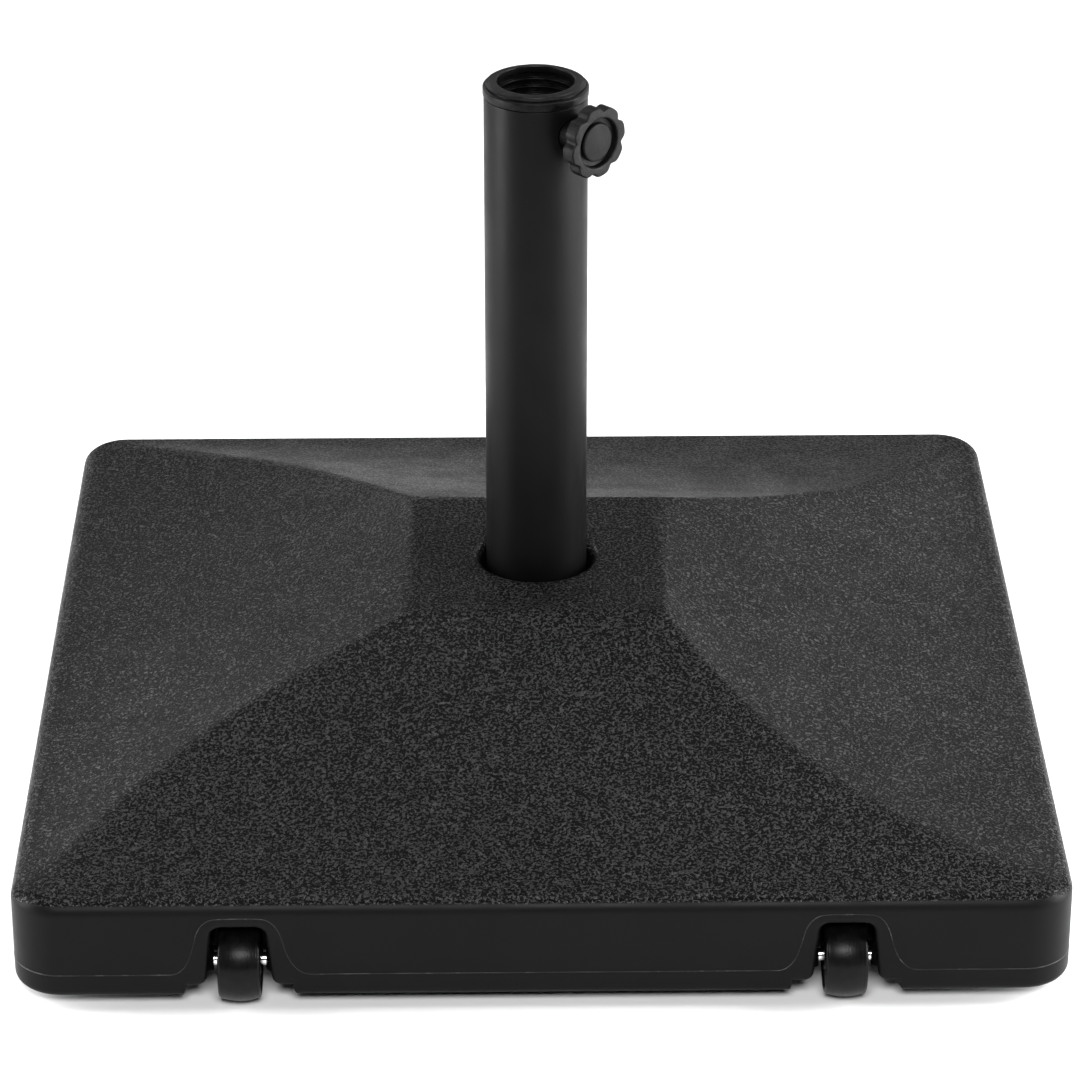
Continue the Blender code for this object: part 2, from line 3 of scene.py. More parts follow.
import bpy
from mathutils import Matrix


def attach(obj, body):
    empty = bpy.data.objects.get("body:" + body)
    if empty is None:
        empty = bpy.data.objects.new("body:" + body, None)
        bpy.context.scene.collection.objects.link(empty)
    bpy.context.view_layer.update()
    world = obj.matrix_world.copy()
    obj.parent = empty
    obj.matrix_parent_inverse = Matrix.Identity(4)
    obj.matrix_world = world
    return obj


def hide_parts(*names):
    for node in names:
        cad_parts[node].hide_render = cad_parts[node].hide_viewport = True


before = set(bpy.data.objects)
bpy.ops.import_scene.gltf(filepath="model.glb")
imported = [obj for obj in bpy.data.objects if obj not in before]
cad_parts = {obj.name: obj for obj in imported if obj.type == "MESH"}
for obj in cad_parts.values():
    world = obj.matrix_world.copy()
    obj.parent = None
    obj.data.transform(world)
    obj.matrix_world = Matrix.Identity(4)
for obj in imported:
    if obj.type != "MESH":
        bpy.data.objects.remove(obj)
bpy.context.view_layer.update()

import math
import bpy
import bmesh
import numpy as np
from mathutils import Matrix, Vector

# ------------------------------------------------------------------ sizes, as in part.py
MM = 0.001
SIDE = 0.5
HALF = SIDE / 2
RIM_Z = 8.0 * MM
EDGE_H = 51.6 * MM
PLATEAU_H = 104.5 * MM
PLATEAU_S = 63.5 * MM
FILLET = 8.0 * MM
RIM_FILLET = 4.0 * MM
CORNER_R = 23.4 * MM
SWIRL_MAX = 0.116
SOCKET_R = 28.5 * MM
LIP_R = 5.0 * MM
SOCKET_FLOOR = 35.0 * MM
RECESS_R = 22.0 * MM
RECESS_TOP = 27.0 * MM
ANCHOR_HOLE_R = 6.5 * MM
WHEEL_R = 20.0 * MM
WHEEL_W = 20.0 * MM
WHEEL_X = 142.6 * MM
WHEEL_BACK = 12.8 * MM
WHEEL_UP = 13.2 * MM
AXLE_R = 3.0 * MM
AXLE_HALF = 22.0 * MM
WELL_TOP = 37.5 * MM
WELL_DEEP = 36.0 * MM
WELL_HALF_TOP = 12.7 * MM
WELL_HALF_AXLE = 14.2 * MM
WELL_HALF_BOTTOM = 16.2 * MM
NOTCH_HALF = 26.0 * MM
NOTCH_UP = 6.1 * MM
NOTCH_DEEP = 50.0 * MM
TUBE_R = 25.4 * MM
TUBE_WALL = 1.5 * MM
TUBE_TOP = 363.0 * MM
TUBE_Z = 39.6 * MM
BUSH_BORE_R = 19.0 * MM
BUSH_TOP = 370.0 * MM
BUSH_BOTTOM = 305.0 * MM
KNOB_AZ = math.radians(43.8)
KNOB_Z = 349.8 * MM
KNOB_R = 18.0 * MM
KNOB_NOTCH = 2.1 * MM
KNOB_LOBES = 8
KNOB_PHASE = -0.22
KNOB_FACE = 43.5 * MM
KNOB_BACK = 36.3 * MM
KNOB_HUB = 34.8 * MM
SCREW_R = 4.0 * MM
NUT_OUT = 30.0 * MM
FOOT_R = 16.0 * MM
FOOT_AT = 190.0 * MM
FILLER_AT = (-95.0 * MM, 120.0 * MM)
FILLER_R = 20.0 * MM

BASE_Y = (WHEEL_R - WHEEL_BACK) / 2
PLATEAU_Z = RIM_Z + PLATEAU_H
EDGE_Z = RIM_Z + EDGE_H
WHEEL_Y = BASE_Y - HALF + WHEEL_BACK
WHEEL_Z = RIM_Z + WHEEL_UP
FRONT_Y = BASE_Y - HALF
SIDES = (("left", -WHEEL_X), ("right", WHEEL_X))

# ------------------------------------------------------------------ camera
PITCH, YAW, ROLL = 0.4759457, -0.0119210, -0.0011211
fwd = Vector((-math.sin(YAW) * math.cos(PITCH), math.cos(YAW) * math.cos(PITCH), -math.sin(PITCH)))
right = fwd.cross(Vector((0, 0, 1))).normalized()
up = right.cross(fwd).normalized()
r2 = right * math.cos(ROLL) + up * math.sin(ROLL)
u2 = -right * math.sin(ROLL) + up * math.cos(ROLL)
cam_data = bpy.data.cameras.new("camera")
cam_data.sensor_width = 36.0
cam_data.lens = 151.8004
cam = bpy.data.objects.new("camera", cam_data)
cam.matrix_world = Matrix(((r2.x, u2.x, -fwd.x, -0.0227090),
                           (r2.y, u2.y, -fwd.y, -2.0540529),
                           (r2.z, u2.z, -fwd.z, 1.1806448),
                           (0, 0, 0, 1)))
cam_data.clip_end = 50.0
bpy.context.scene.collection.objects.link(cam)
bpy.context.scene.camera = cam


# ------------------------------------------------------------------ material nodes
GRAIN_SCALE = 800.0          # ridges a little under 2 mm apart
# the lighter shell colour is a painted highlight on the grain's crests
SHELL_DARK, SHELL_HIGHLIGHT = (0.0018, 0.0018, 0.00185), (0.0280, 0.0282, 0.0287)
SIDE_SHINE, VALLEY_SHINE, CREST_SHINE = 0.093, 0.042, 0.190


class Nodes:
    """Small helper that builds one procedural material."""

    def __init__(self, name):
        self.mat = bpy.data.materials.new(name)
        self.mat.use_nodes = True
        self.tree = self.mat.node_tree
        self.shader = self.tree.nodes["Principled BSDF"]
        self.coord = self.tree.nodes.new("ShaderNodeTexCoord").outputs["Object"]

    def link(self, a, b):
        self.tree.links.new(a, b)

    def noise(self, scale, detail=2.0, rough=0.5, distort=0.0, vector=None, dims=None):
        n = self.tree.nodes.new("ShaderNodeTexNoise")
        n.inputs["Scale"].default_value = scale
        n.inputs["Detail"].default_value = detail
        n.inputs["Roughness"].default_value = rough
        n.inputs["Distortion"].default_value = distort
        self.link(vector or self.coord, n.inputs["Vector"])
        return n.outputs["Fac"]

    def gabor(self, scale, frequency, vector=None):
        n = self.tree.nodes.new("ShaderNodeTexGabor")
        n.gabor_type = '3D'
        n.inputs["Scale"].default_value = scale
        n.inputs["Frequency"].default_value = frequency
        n.inputs["Anisotropy"].default_value = 0.0
        self.link(vector or self.coord, n.inputs["Vector"])
        return n.outputs["Value"]

    def voronoi(self, scale, feature='F1', rand=1.0, vector=None, smooth=None):
        n = self.tree.nodes.new("ShaderNodeTexVoronoi")
        n.feature = feature
        n.inputs["Scale"].default_value = scale
        n.inputs["Randomness"].default_value = rand
        if smooth is not None:
            n.inputs["Smoothness"].default_value = smooth
        self.link(vector or self.coord, n.inputs["Vector"])
        return n.outputs["Distance"]

    def math(self, op, a, b=None, c=None, clamp=False):
        n = self.tree.nodes.new("ShaderNodeMath")
        n.operation = op
        n.use_clamp = clamp
        for i, v in enumerate((a, b, c)):
            if v is None:
                continue
            if isinstance(v, (int, float)):
                n.inputs[i].default_value = v
            else:
                self.link(v, n.inputs[i])
        return n.outputs[0]

    def ramp(self, fac, lo, hi, out_lo=0.0, out_hi=1.0, smooth=True):
        n = self.tree.nodes.new("ShaderNodeMapRange")
        n.interpolation_type = 'SMOOTHSTEP' if smooth else 'LINEAR'
        self.link(fac, n.inputs["Value"])
        n.inputs["From Min"].default_value = lo
        n.inputs["From Max"].default_value = hi
        n.inputs["To Min"].default_value = out_lo
        n.inputs["To Max"].default_value = out_hi
        return n.outputs["Result"]

    def mix(self, fac, a, b):
        n = self.tree.nodes.new("ShaderNodeMix")
        n.data_type = 'RGBA'
        self.link(fac, n.inputs[0])
        n.inputs[6].default_value = (*a, 1.0)
        n.inputs[7].default_value = (*b, 1.0)
        return n.outputs[2]

    def mixin(self, fac, a, b):
        """Mix of two colour sockets."""
        n = self.tree.nodes.new("ShaderNodeMix")
        n.data_type = 'RGBA'
        self.link(fac, n.inputs[0])
        for v, i in ((a, 6), (b, 7)):
            if isinstance(v, tuple):
                n.inputs[i].default_value = (*v, 1.0)
            else:
                self.link(v, n.inputs[i])
        return n.outputs[2]

    def split(self, vector=None):
        n = self.tree.nodes.new("ShaderNodeSeparateXYZ")
        self.link(vector or self.coord, n.inputs[0])
        return n.outputs

    def stretch(self, sx, sy, sz):
        n = self.tree.nodes.new("ShaderNodeMapping")
        n.inputs["Scale"].default_value = (sx, sy, sz)
        self.link(self.coord, n.inputs["Vector"])
        return n.outputs[0]

    def normal(self):
        return self.tree.nodes.new("ShaderNodeNewGeometry").outputs["Normal"]

    def bump(self, height, distance, strength=1.0, before=None):
        n = self.tree.nodes.new("ShaderNodeBump")
        if isinstance(strength, (int, float)):
            n.inputs["Strength"].default_value = strength
        else:
            self.link(strength, n.inputs["Strength"])
        n.inputs["Distance"].default_value = distance
        self.link(height, n.inputs["Height"])
        if before is not None:
            self.link(before, n.inputs["Normal"])
        return n.outputs[0]

    def set(self, **values):
        for key, v in values.items():
            socket = self.shader.inputs[{"colour": "Base Color", "rough": "Roughness", "metal": "Metallic",
                                         "normal": "Normal", "spec": "Specular IOR Level", "ior": "IOR",
                                         "sheen": "Sheen Weight", "coat": "Coat Weight",
                                         "coat_rough": "Coat Roughness", "aniso": "Anisotropic"}[key]]
            if isinstance(v, tuple):
                socket.default_value = (*v, 1.0)
            elif isinstance(v, (int, float)):
                socket.default_value = v
            else:
                self.link(v, socket)
        return self.mat


def shell_material():
    """Blow-moulded polyethylene: short worm-like grain on the roof, smooth sides with faint flow marks."""
    n = Nodes("shell_plastic")
    x, y, z = n.split()
    nx, ny, nz = n.split(n.normal())
    # the grain ends part of the way down the top fillet, and lower down it on the two sides
    foot = RIM_Z + EDGE_H - FILLET * math.cos(math.radians(6)) + 0.00493
    line = n.ramp(n.math('ABSOLUTE', x), 0.238, 0.2495, foot + 0.0003, foot - 0.0025)
    wobble = n.ramp(n.noise(420, 1.0), 0.0, 1.0, -0.00045, 0.00045, False)
    above = n.math('SUBTRACT', n.math('ADD', z, wobble), line)
    top = n.math('MULTIPLY', n.ramp(above, -0.0002, 0.0003), n.ramp(nz, 0.12, 0.25))
    # worm grain: the upper half of one even noise, drawn out into short pieces
    height = n.ramp(n.noise(GRAIN_SCALE, 0.0, 0.5, 0.75), 0.45, 0.68)
    side_height = n.math('ADD', n.math('MULTIPLY', n.noise(900.0, 1.0, 0.6), 0.45), n.noise(60.0, 2.0, 0.6, 0.6))
    grained = n.bump(height, 0.00050, top)
    bump = n.bump(side_height, 0.00006, n.math('SUBTRACT', 1.0, top), grained)
    # painted highlight: the grain's crests are coloured lighter, and random glints on them lighter still
    crest_highlight = n.math('MULTIPLY', height, top)
    painted_glints = n.ramp(n.noise(430.0, 1.0, 0.6), 0.52, 0.72, 0.36, 1.0)
    tone = n.math('MULTIPLY', crest_highlight, painted_glints, clamp=True)
    colour = n.mix(tone, SHELL_DARK, SHELL_HIGHLIGHT)
    rough = n.math('SUBTRACT', n.ramp(n.noise(35.0, 2.0, 0.6), 0.3, 0.7, 0.42, 0.50), n.math('MULTIPLY', top, 0.09))
    # valleys hold little light, crests are rubbed smooth
    shine = n.math('ADD', n.math('MULTIPLY', n.math('SUBTRACT', 1.0, top), SIDE_SHINE),
                   n.math('MULTIPLY', top, n.ramp(height, 0.0, 1.0, VALLEY_SHINE, CREST_SHINE)))
    # the rear slope is the most handled one, duller than the rest
    shine = n.math('MULTIPLY', shine, n.ramp(ny, 0.14, 0.25, 1.0, 0.62))
    return n.set(colour=colour, rough=rough, normal=bump, spec=shine)


def smooth_plastic(name, dark=(0.0022, 0.0022, 0.0023), light=(0.0045, 0.0045, 0.0047), rough=(0.42, 0.55),
                   bump=0.00006, spec=0.16, grain=1400.0):
    n = Nodes(name)
    blotch = n.ramp(n.noise(110.0, 3.0, 0.6, 0.5), 0.35, 0.7)
    colour = n.mix(blotch, dark, light)
    r = n.ramp(n.noise(240.0, 3.0, 0.65), 0.3, 0.7, rough[0], rough[1])
    height = n.math('ADD', n.noise(grain, 2.0, 0.6), n.math('MULTIPLY', n.noise(260.0, 2.0, 0.5), 0.6))
    return n.set(colour=colour, rough=r, normal=n.bump(height, bump), spec=spec)


def worn_plastic(name):
    """Moulded knob plastic: edges catch a lighter, scuffed tone."""
    n = Nodes(name)
    geo = n.tree.nodes.new("ShaderNodeNewGeometry")
    edge = n.ramp(geo.outputs["Pointiness"], 0.505, 0.56)
    scuff = n.ramp(n.noise(420.0, 4.0, 0.7, 0.8), 0.38, 0.72)
    tone = n.math('ADD', n.math('MULTIPLY', edge, scuff), n.math('MULTIPLY', scuff, 0.25), clamp=True)
    colour = n.mix(tone, (0.0014, 0.0014, 0.0015), (0.0100, 0.0100, 0.0103))
    r = n.ramp(n.noise(300.0, 3.0, 0.65), 0.3, 0.7, 0.36, 0.50)
    height = n.math('ADD', n.noise(1300.0, 2.0, 0.6), n.math('MULTIPLY', n.noise(330.0, 2.0, 0.5), 0.8))
    return n.set(colour=colour, rough=r, normal=n.bump(height, 0.00020), spec=0.105)


def bush_plastic():
    """Moulded flange, scuffed on top; the bore below it and the small step under the rim are coloured darker as
    painted shade.
    """
    n = Nodes("bush_plastic")
    x, y, z = n.split()
    yy = n.math('SUBTRACT', y, BASE_Y)
    r2 = n.math('ADD', n.math('MULTIPLY', x, x), n.math('MULTIPLY', yy, yy))
    # painted shade: darker colour inside the bore and below the rim
    bore_shade_mask = n.math('MULTIPLY', n.ramp(r2, (BUSH_BORE_R + 0.2 * MM) ** 2, (BUSH_BORE_R + 1.3 * MM) ** 2, 1.0, 0.35),
                  n.ramp(z, BUSH_TOP - 1.3 * MM, BUSH_TOP - 0.5 * MM, 1.0, 0.0))
    scuff = n.ramp(n.noise(330.0, 4.0, 0.7, 0.6), 0.42, 0.74)
    # painted shade: darker colour in the small step between the flange's band and its sloping top
    step_shade = n.math('MULTIPLY', n.ramp(z, BUSH_TOP - 2.55 * MM, BUSH_TOP - 2.35 * MM),
                  n.ramp(z, BUSH_TOP - 1.55 * MM, BUSH_TOP - 1.30 * MM, 1.0, 0.0))
    outside_shade = n.math('MULTIPLY', n.math('SUBTRACT', 1.0, bore_shade_mask), n.ramp(step_shade, 0.0, 1.0, 1.0, 0.2))
    colour = n.mix(n.math('MULTIPLY', scuff, outside_shade), (0.0014, 0.0014, 0.0015), (0.0105, 0.0105, 0.0108))
    rib = n.ramp(r2, (BUSH_BORE_R + 0.05 * MM) ** 2, (BUSH_BORE_R + 0.30 * MM) ** 2, 0.30, 0.012)
    spec = n.math('ADD', n.math('MULTIPLY', outside_shade, 0.13), n.math('MULTIPLY', bore_shade_mask, rib))
    height = n.math('ADD', n.noise(1300.0, 2.0, 0.6), n.math('MULTIPLY', n.noise(300.0, 2.0, 0.5), 0.7))
    return n.set(colour=colour, rough=n.ramp(scuff, 0.0, 1.0, 0.34, 0.46), normal=n.bump(height, 0.00009), spec=spec)


def seam_plastic():
    """Flash along the parting line: rubbed pale in places, hardly there in others, and paler towards the base's
    corners as a painted highlight.
    """
    n = Nodes("seam_plastic")
    x, y, z = n.split()
    # painted highlight: the line is coloured paler where it turns round the base's corners
    corner_highlight = n.ramp(n.math('ABSOLUTE', x), 0.226, 0.240, 0.0, 0.95)
    rubbed = n.ramp(n.noise(26.0, 3.0, 0.7, 0.3), 0.46, 0.70)
    nick = n.ramp(n.noise(170.0, 2.0, 0.6), 0.55, 0.68)
    tone = n.math('ADD', n.math('MULTIPLY', rubbed, 0.40), n.math('MULTIPLY', nick, 0.40), clamp=True)
    tone = n.math('ADD', tone, n.math('MULTIPLY', corner_highlight, n.ramp(rubbed, 0.0, 1.0, 0.35, 1.0)), clamp=True)
    colour = n.mix(tone, (0.0050, 0.0050, 0.0051), (0.085, 0.085, 0.086))
    return n.set(colour=colour, rough=n.ramp(tone, 0.0, 1.0, 0.36, 0.44), spec=0.16,
                 normal=n.bump(n.noise(1500.0, 1.0), 0.00004))


def powder_coat():
    """Satin powder coat: fine orange peel."""
    n = Nodes("powder_coat")
    peel = n.noise(1100.0, 2.0, 0.5)
    soft = n.noise(210.0, 2.0, 0.5)
    height = n.math('ADD', peel, n.math('MULTIPLY', soft, 0.8))
    colour = n.mix(n.ramp(n.noise(26.0, 3.0, 0.6), 0.3, 0.75), (0.0018, 0.0018, 0.0019), (0.0029, 0.0029, 0.0030))
    r = n.ramp(n.noise(48.0, 3.0, 0.6), 0.3, 0.7, 0.36, 0.43)
    return n.set(colour=colour, rough=r, normal=n.bump(height, 0.00005), spec=0.10)


def metal(name, tone, rough, streak=None, bump=0.00002):
    n = Nodes(name)
    vec = n.stretch(*(streak or (1.0, 1.0, 1.0)))
    lines = n.noise(900.0, 3.0, 0.6, 0.0, vec)
    colour = n.mix(n.ramp(n.noise(160.0, 3.0, 0.6), 0.3, 0.7), tuple(0.80 * v for v in tone), tone)
    r = n.ramp(lines, 0.3, 0.7, rough * 0.8, rough * 1.3)
    return n.set(colour=colour, rough=r, metal=1.0, normal=n.bump(lines, bump))


def zinc_plate():
    """Zinc plating: faint spangle and dull patches."""
    n = Nodes("zinc_plate")
    cells = n.voronoi(420.0, 'F1')
    patch = n.ramp(n.noise(130.0, 4.0, 0.65, 0.4), 0.35, 0.7)
    colour = n.mixin(patch, (0.50, 0.51, 0.53), (0.70, 0.70, 0.69))
    r = n.math('ADD', n.ramp(patch, 0.0, 1.0, 0.30, 0.42), n.math('MULTIPLY', cells, 0.04))
    return n.set(colour=colour, rough=r, metal=1.0, normal=n.bump(n.noise(1100.0, 2.0, 0.6), 0.00003))


def rubber_mat():
    n = Nodes("foot_rubber")
    colour = n.mix(n.ramp(n.noise(200.0, 3.0, 0.6), 0.35, 0.7), (0.0055, 0.0055, 0.0055), (0.012, 0.012, 0.0117))
    return n.set(colour=colour, rough=n.ramp(n.noise(500.0, 2.0, 0.6), 0.3, 0.7, 0.70, 0.86),
                 normal=n.bump(n.noise(1500.0, 2.0, 0.6), 0.00009), spec=0.35)


def concrete():
    n = Nodes("concrete")
    stones = n.voronoi(140.0, 'F1')
    sand = n.noise(900.0, 4.0, 0.7)
    colour = n.mix(n.ramp(n.math('MULTIPLY', stones, sand), 0.1, 0.5), (0.22, 0.215, 0.205), (0.42, 0.41, 0.39))
    height = n.math('ADD', n.math('MULTIPLY', stones, 0.5), sand)
    return n.set(colour=colour, rough=0.92, normal=n.bump(height, 0.0006), spec=0.3)


def roller_plastic():
    """Roller tread: darker moulded plastic, fine turning marks round the tread."""
    n = Nodes("roller_plastic")
    x, y, z = n.split()
    marks = n.noise(1.0, 3.0, 0.6, 0.0, n.stretch(2600.0, 90.0, 90.0))
    height = n.math('ADD', n.math('MULTIPLY', marks, 0.7), n.noise(900.0, 2.0, 0.6))
    colour = n.mix(n.ramp(n.noise(240.0, 3.0, 0.65, 0.4), 0.35, 0.7), (0.0013, 0.0013, 0.0014), (0.0032, 0.0032, 0.0033))
    r = n.ramp(marks, 0.3, 0.7, 0.27, 0.37)
    return n.set(colour=colour, rough=r, normal=n.bump(height, 0.00006), spec=0.11)


MAT = {
    "shell": shell_material(),
    "seam": seam_plastic(),
    # the axle bosses: real wall bosses round each axle, coloured extra dark and dull as painted shade for the dark
    # well walls
    "boss": smooth_plastic("boss_plastic_painted_shade", dark=(0.0010, 0.0010, 0.0011), light=(0.0022, 0.0022, 0.0023), spec=0.05),
    "plug": smooth_plastic("plug_plastic"),
    "bush": bush_plastic(),
    "pad": smooth_plastic("pad_plastic", dark=(0.0065, 0.0065, 0.0068), light=(0.011, 0.011, 0.0114)),
    "knob": worn_plastic("knob_plastic"),
    "cap": smooth_plastic("cap_plastic", dark=(0.0014, 0.0014, 0.0015), light=(0.0048, 0.0048, 0.0050), spec=0.085,
                          rough=(0.40, 0.5), bump=0.00010),
    "tube": powder_coat(),
    # painted shade: a darker copy of the tube's powder coat, for the weld nut and its bead in the knob's shadow
    "coat": smooth_plastic("nut_coat_painted_shade", dark=(0.0008, 0.0008, 0.0009), light=(0.0018, 0.0018, 0.0019), spec=0.03),
    "zinc": zinc_plate(),
    "axle": metal("bright_steel", (0.86, 0.86, 0.87), 0.16, (0.05, 1.0, 1.0)),
    "screw": metal("screw_steel", (0.66, 0.67, 0.69), 0.26),
    "roller": roller_plastic(),
    "foot": rubber_mat(),
    "concrete": concrete(),
}


# ------------------------------------------------------------------ mesh helpers
def mesh_object(name, verts, faces, mat, sharp=35.0):
    mesh = bpy.data.meshes.new(name)
    mesh.from_pydata([tuple(v) for v in verts], [], faces)
    mesh.validate()
    bm = bmesh.new()
    bm.from_mesh(mesh)
    if bm.calc_volume(signed=True) < 0:
        bmesh.ops.reverse_faces(bm, faces=bm.faces)
    bm.to_mesh(mesh)
    bm.free()
    mesh.shade_smooth()
    if sharp:
        mesh.set_sharp_from_angle(angle=math.radians(sharp))
    ob = bpy.data.objects.new(name, mesh)
    bpy.context.scene.collection.objects.link(ob)
    if mat:
        mesh.materials.append(MAT[mat])
    return ob


def skin(rings, closed):
    n = len(rings[0])
    verts = [tuple(p) for ring in rings for p in ring]
    faces = []
    last = len(rings) if closed else len(rings) - 1
    for i in range(last):
        a, b = i * n, ((i + 1) % len(rings)) * n
        for j in range(n):
            k = (j + 1) % n
            faces.append((a + j, a + k, b + k, b + j))
    if not closed:
        faces.append(tuple(reversed(range(n))))
        faces.append(tuple(range((len(rings) - 1) * n, len(rings) * n)))
    return verts, faces


def cut(ob, cutters, sharp=35.0):
    """Takes the cutters out of ob, for good."""
    for c in cutters:
        mod = ob.modifiers.new("cut", 'BOOLEAN')
        mod.operation = 'DIFFERENCE'
        mod.solver = 'EXACT'
        mod.object = c
    bpy.context.view_layer.update()
    deps = bpy.context.evaluated_depsgraph_get()
    mesh = bpy.data.meshes.new_from_object(ob.evaluated_get(deps))
    ob.modifiers.clear()
    if not mesh.polygons:
        raise RuntimeError(ob.name + ": the cut left nothing")
    ob.data = mesh
    mesh.shade_smooth()
    if sharp:
        mesh.set_sharp_from_angle(angle=math.radians(sharp))
    for c in cutters:
        bpy.data.objects.remove(c, do_unlink=True)
    return ob


def place(ob, body, slot, *nodes):
    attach(ob, body)
    if nodes:
        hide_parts(*nodes)
    return ob


def arc(cr, ch, rad, a0, a1, n):
    """Points (radius, height) on an arc, angles in degrees."""
    return [(cr + rad * math.cos(math.radians(a0 + (a1 - a0) * i / n)),
             ch + rad * math.sin(math.radians(a0 + (a1 - a0) * i / n))) for i in range(n + 1)]


def turned(name, profile, frame_m, n, mat, closed=True, sharp=35.0):
    rings = []
    for r, h in profile:
        rings.append([frame_m @ Vector((r * math.cos(2 * math.pi * j / n), r * math.sin(2 * math.pi * j / n), h))
                      for j in range(n)])
    verts, faces = skin(rings, closed)
    return mesh_object(name, verts, faces, mat, sharp)


def rounded(points, radius, n=4):
    """A profile with its corners rounded; points are (r, h, own radius or None)."""
    out = []
    m = len(points)
    for i, p in enumerate(points):
        rad = radius if len(p) < 3 or p[2] is None else p[2]
        a = Vector(points[i - 1][:2])
        b = Vector(p[:2])
        c = Vector(points[(i + 1) % m][:2])
        u, v = (a - b), (c - b)
        lu, lv = u.length, v.length
        if rad <= 0 or lu < 1e-9 or lv < 1e-9:
            out.append(tuple(b))
            continue
        u.normalize(); v.normalize()
        ang = math.acos(max(-1.0, min(1.0, u.dot(v))))
        if ang > math.radians(176):
            out.append(tuple(b))
            continue
        d = min(rad / math.tan(ang / 2), 0.45 * lu, 0.45 * lv)
        rr = d * math.tan(ang / 2)
        centre = b + (u + v).normalized() * (rr / math.sin(ang / 2))
        p0, p1 = b + u * d, b + v * d
        a0 = math.atan2(p0.y - centre.y, p0.x - centre.x)
        a1 = math.atan2(p1.y - centre.y, p1.x - centre.x)
        da = (a1 - a0 + math.pi) % (2 * math.pi) - math.pi
        for k in range(n + 1):
            t = a0 + da * k / n
            out.append((centre.x + rr * math.cos(t), centre.y + rr * math.sin(t)))
    return out


AXIS = Matrix.Translation((0.0, BASE_Y, 0.0))
outward = Vector((math.sin(KNOB_AZ), -math.cos(KNOB_AZ), 0.0))
across = Vector((math.cos(KNOB_AZ), math.sin(KNOB_AZ), 0.0))
SCREW = Matrix(((across.x, 0.0, outward.x, 0.0), (across.y, 0.0, outward.y, BASE_Y),
                (0.0, 1.0, 0.0, KNOB_Z), (0.0, 0.0, 0.0, 1.0)))


# ------------------------------------------------------------------ the shell
STRAIGHT_N, ARC_N = 56, 14
RING_N = 4 * (STRAIGHT_N + ARC_N)


def square_ring(s, r, turn, z):
    h = s - r
    pts = []
    ca, sa = math.cos(-turn), math.sin(-turn)
    half_n = STRAIGHT_N // 2
    for q in range(4):
        quarter = [(s, h * i / half_n) for i in range(half_n)]
        for i in range(ARC_N + 1):
            a = math.pi / 2 * i / ARC_N
            quarter.append((h + r * math.cos(a), h + r * math.sin(a)))
        quarter += [(h * (1 - i / half_n), s) for i in range(1, half_n)]
        for x, y in quarter:
            for _ in range(q):
                x, y = -y, x
            pts.append((x * ca - y * sa, x * sa + y * ca + BASE_Y, z))
    return pts


def round_ring(r, z):
    return [(r * math.cos(2 * math.pi * j / RING_N), r * math.sin(2 * math.pi * j / RING_N) + BASE_Y, z)
            for j in range(RING_N)]


def swirl(t):
    t = min(max(t, 0.0), 1.0)
    peak = (0.8 / 2.15) ** 0.8 * (1.35 / 2.15) ** 1.35
    return SWIRL_MAX * t ** 0.8 * (1 - t) ** 1.35 / peak


def roof(t):
    u = max(1.0 - t, 0.0)
    return 0.7 * u ** 1.55 + 0.3 * u ** 0.9


EDGE_S = HALF - FILLET


def roof_z(s):
    if s <= PLATEAU_S:
        return PLATEAU_Z
    return EDGE_Z + (PLATEAU_Z - EDGE_Z) * roof((s - PLATEAU_S) / (EDGE_S - PLATEAU_S))


def soft_roof_z(s, w=4.0 * MM):
    """The roof's height with the plateau's edge rounded over."""
    total = weight = 0.0
    for i in range(-6, 7):
        k = 1 - (i / 7) ** 2
        total += k * roof_z(min(s + w * i / 6, EDGE_S))
        weight += k
    blend = min(max((s - PLATEAU_S - 8 * MM) / (8 * MM), 0.0), 1.0)
    return (1 - blend) * total / weight + blend * roof_z(s)


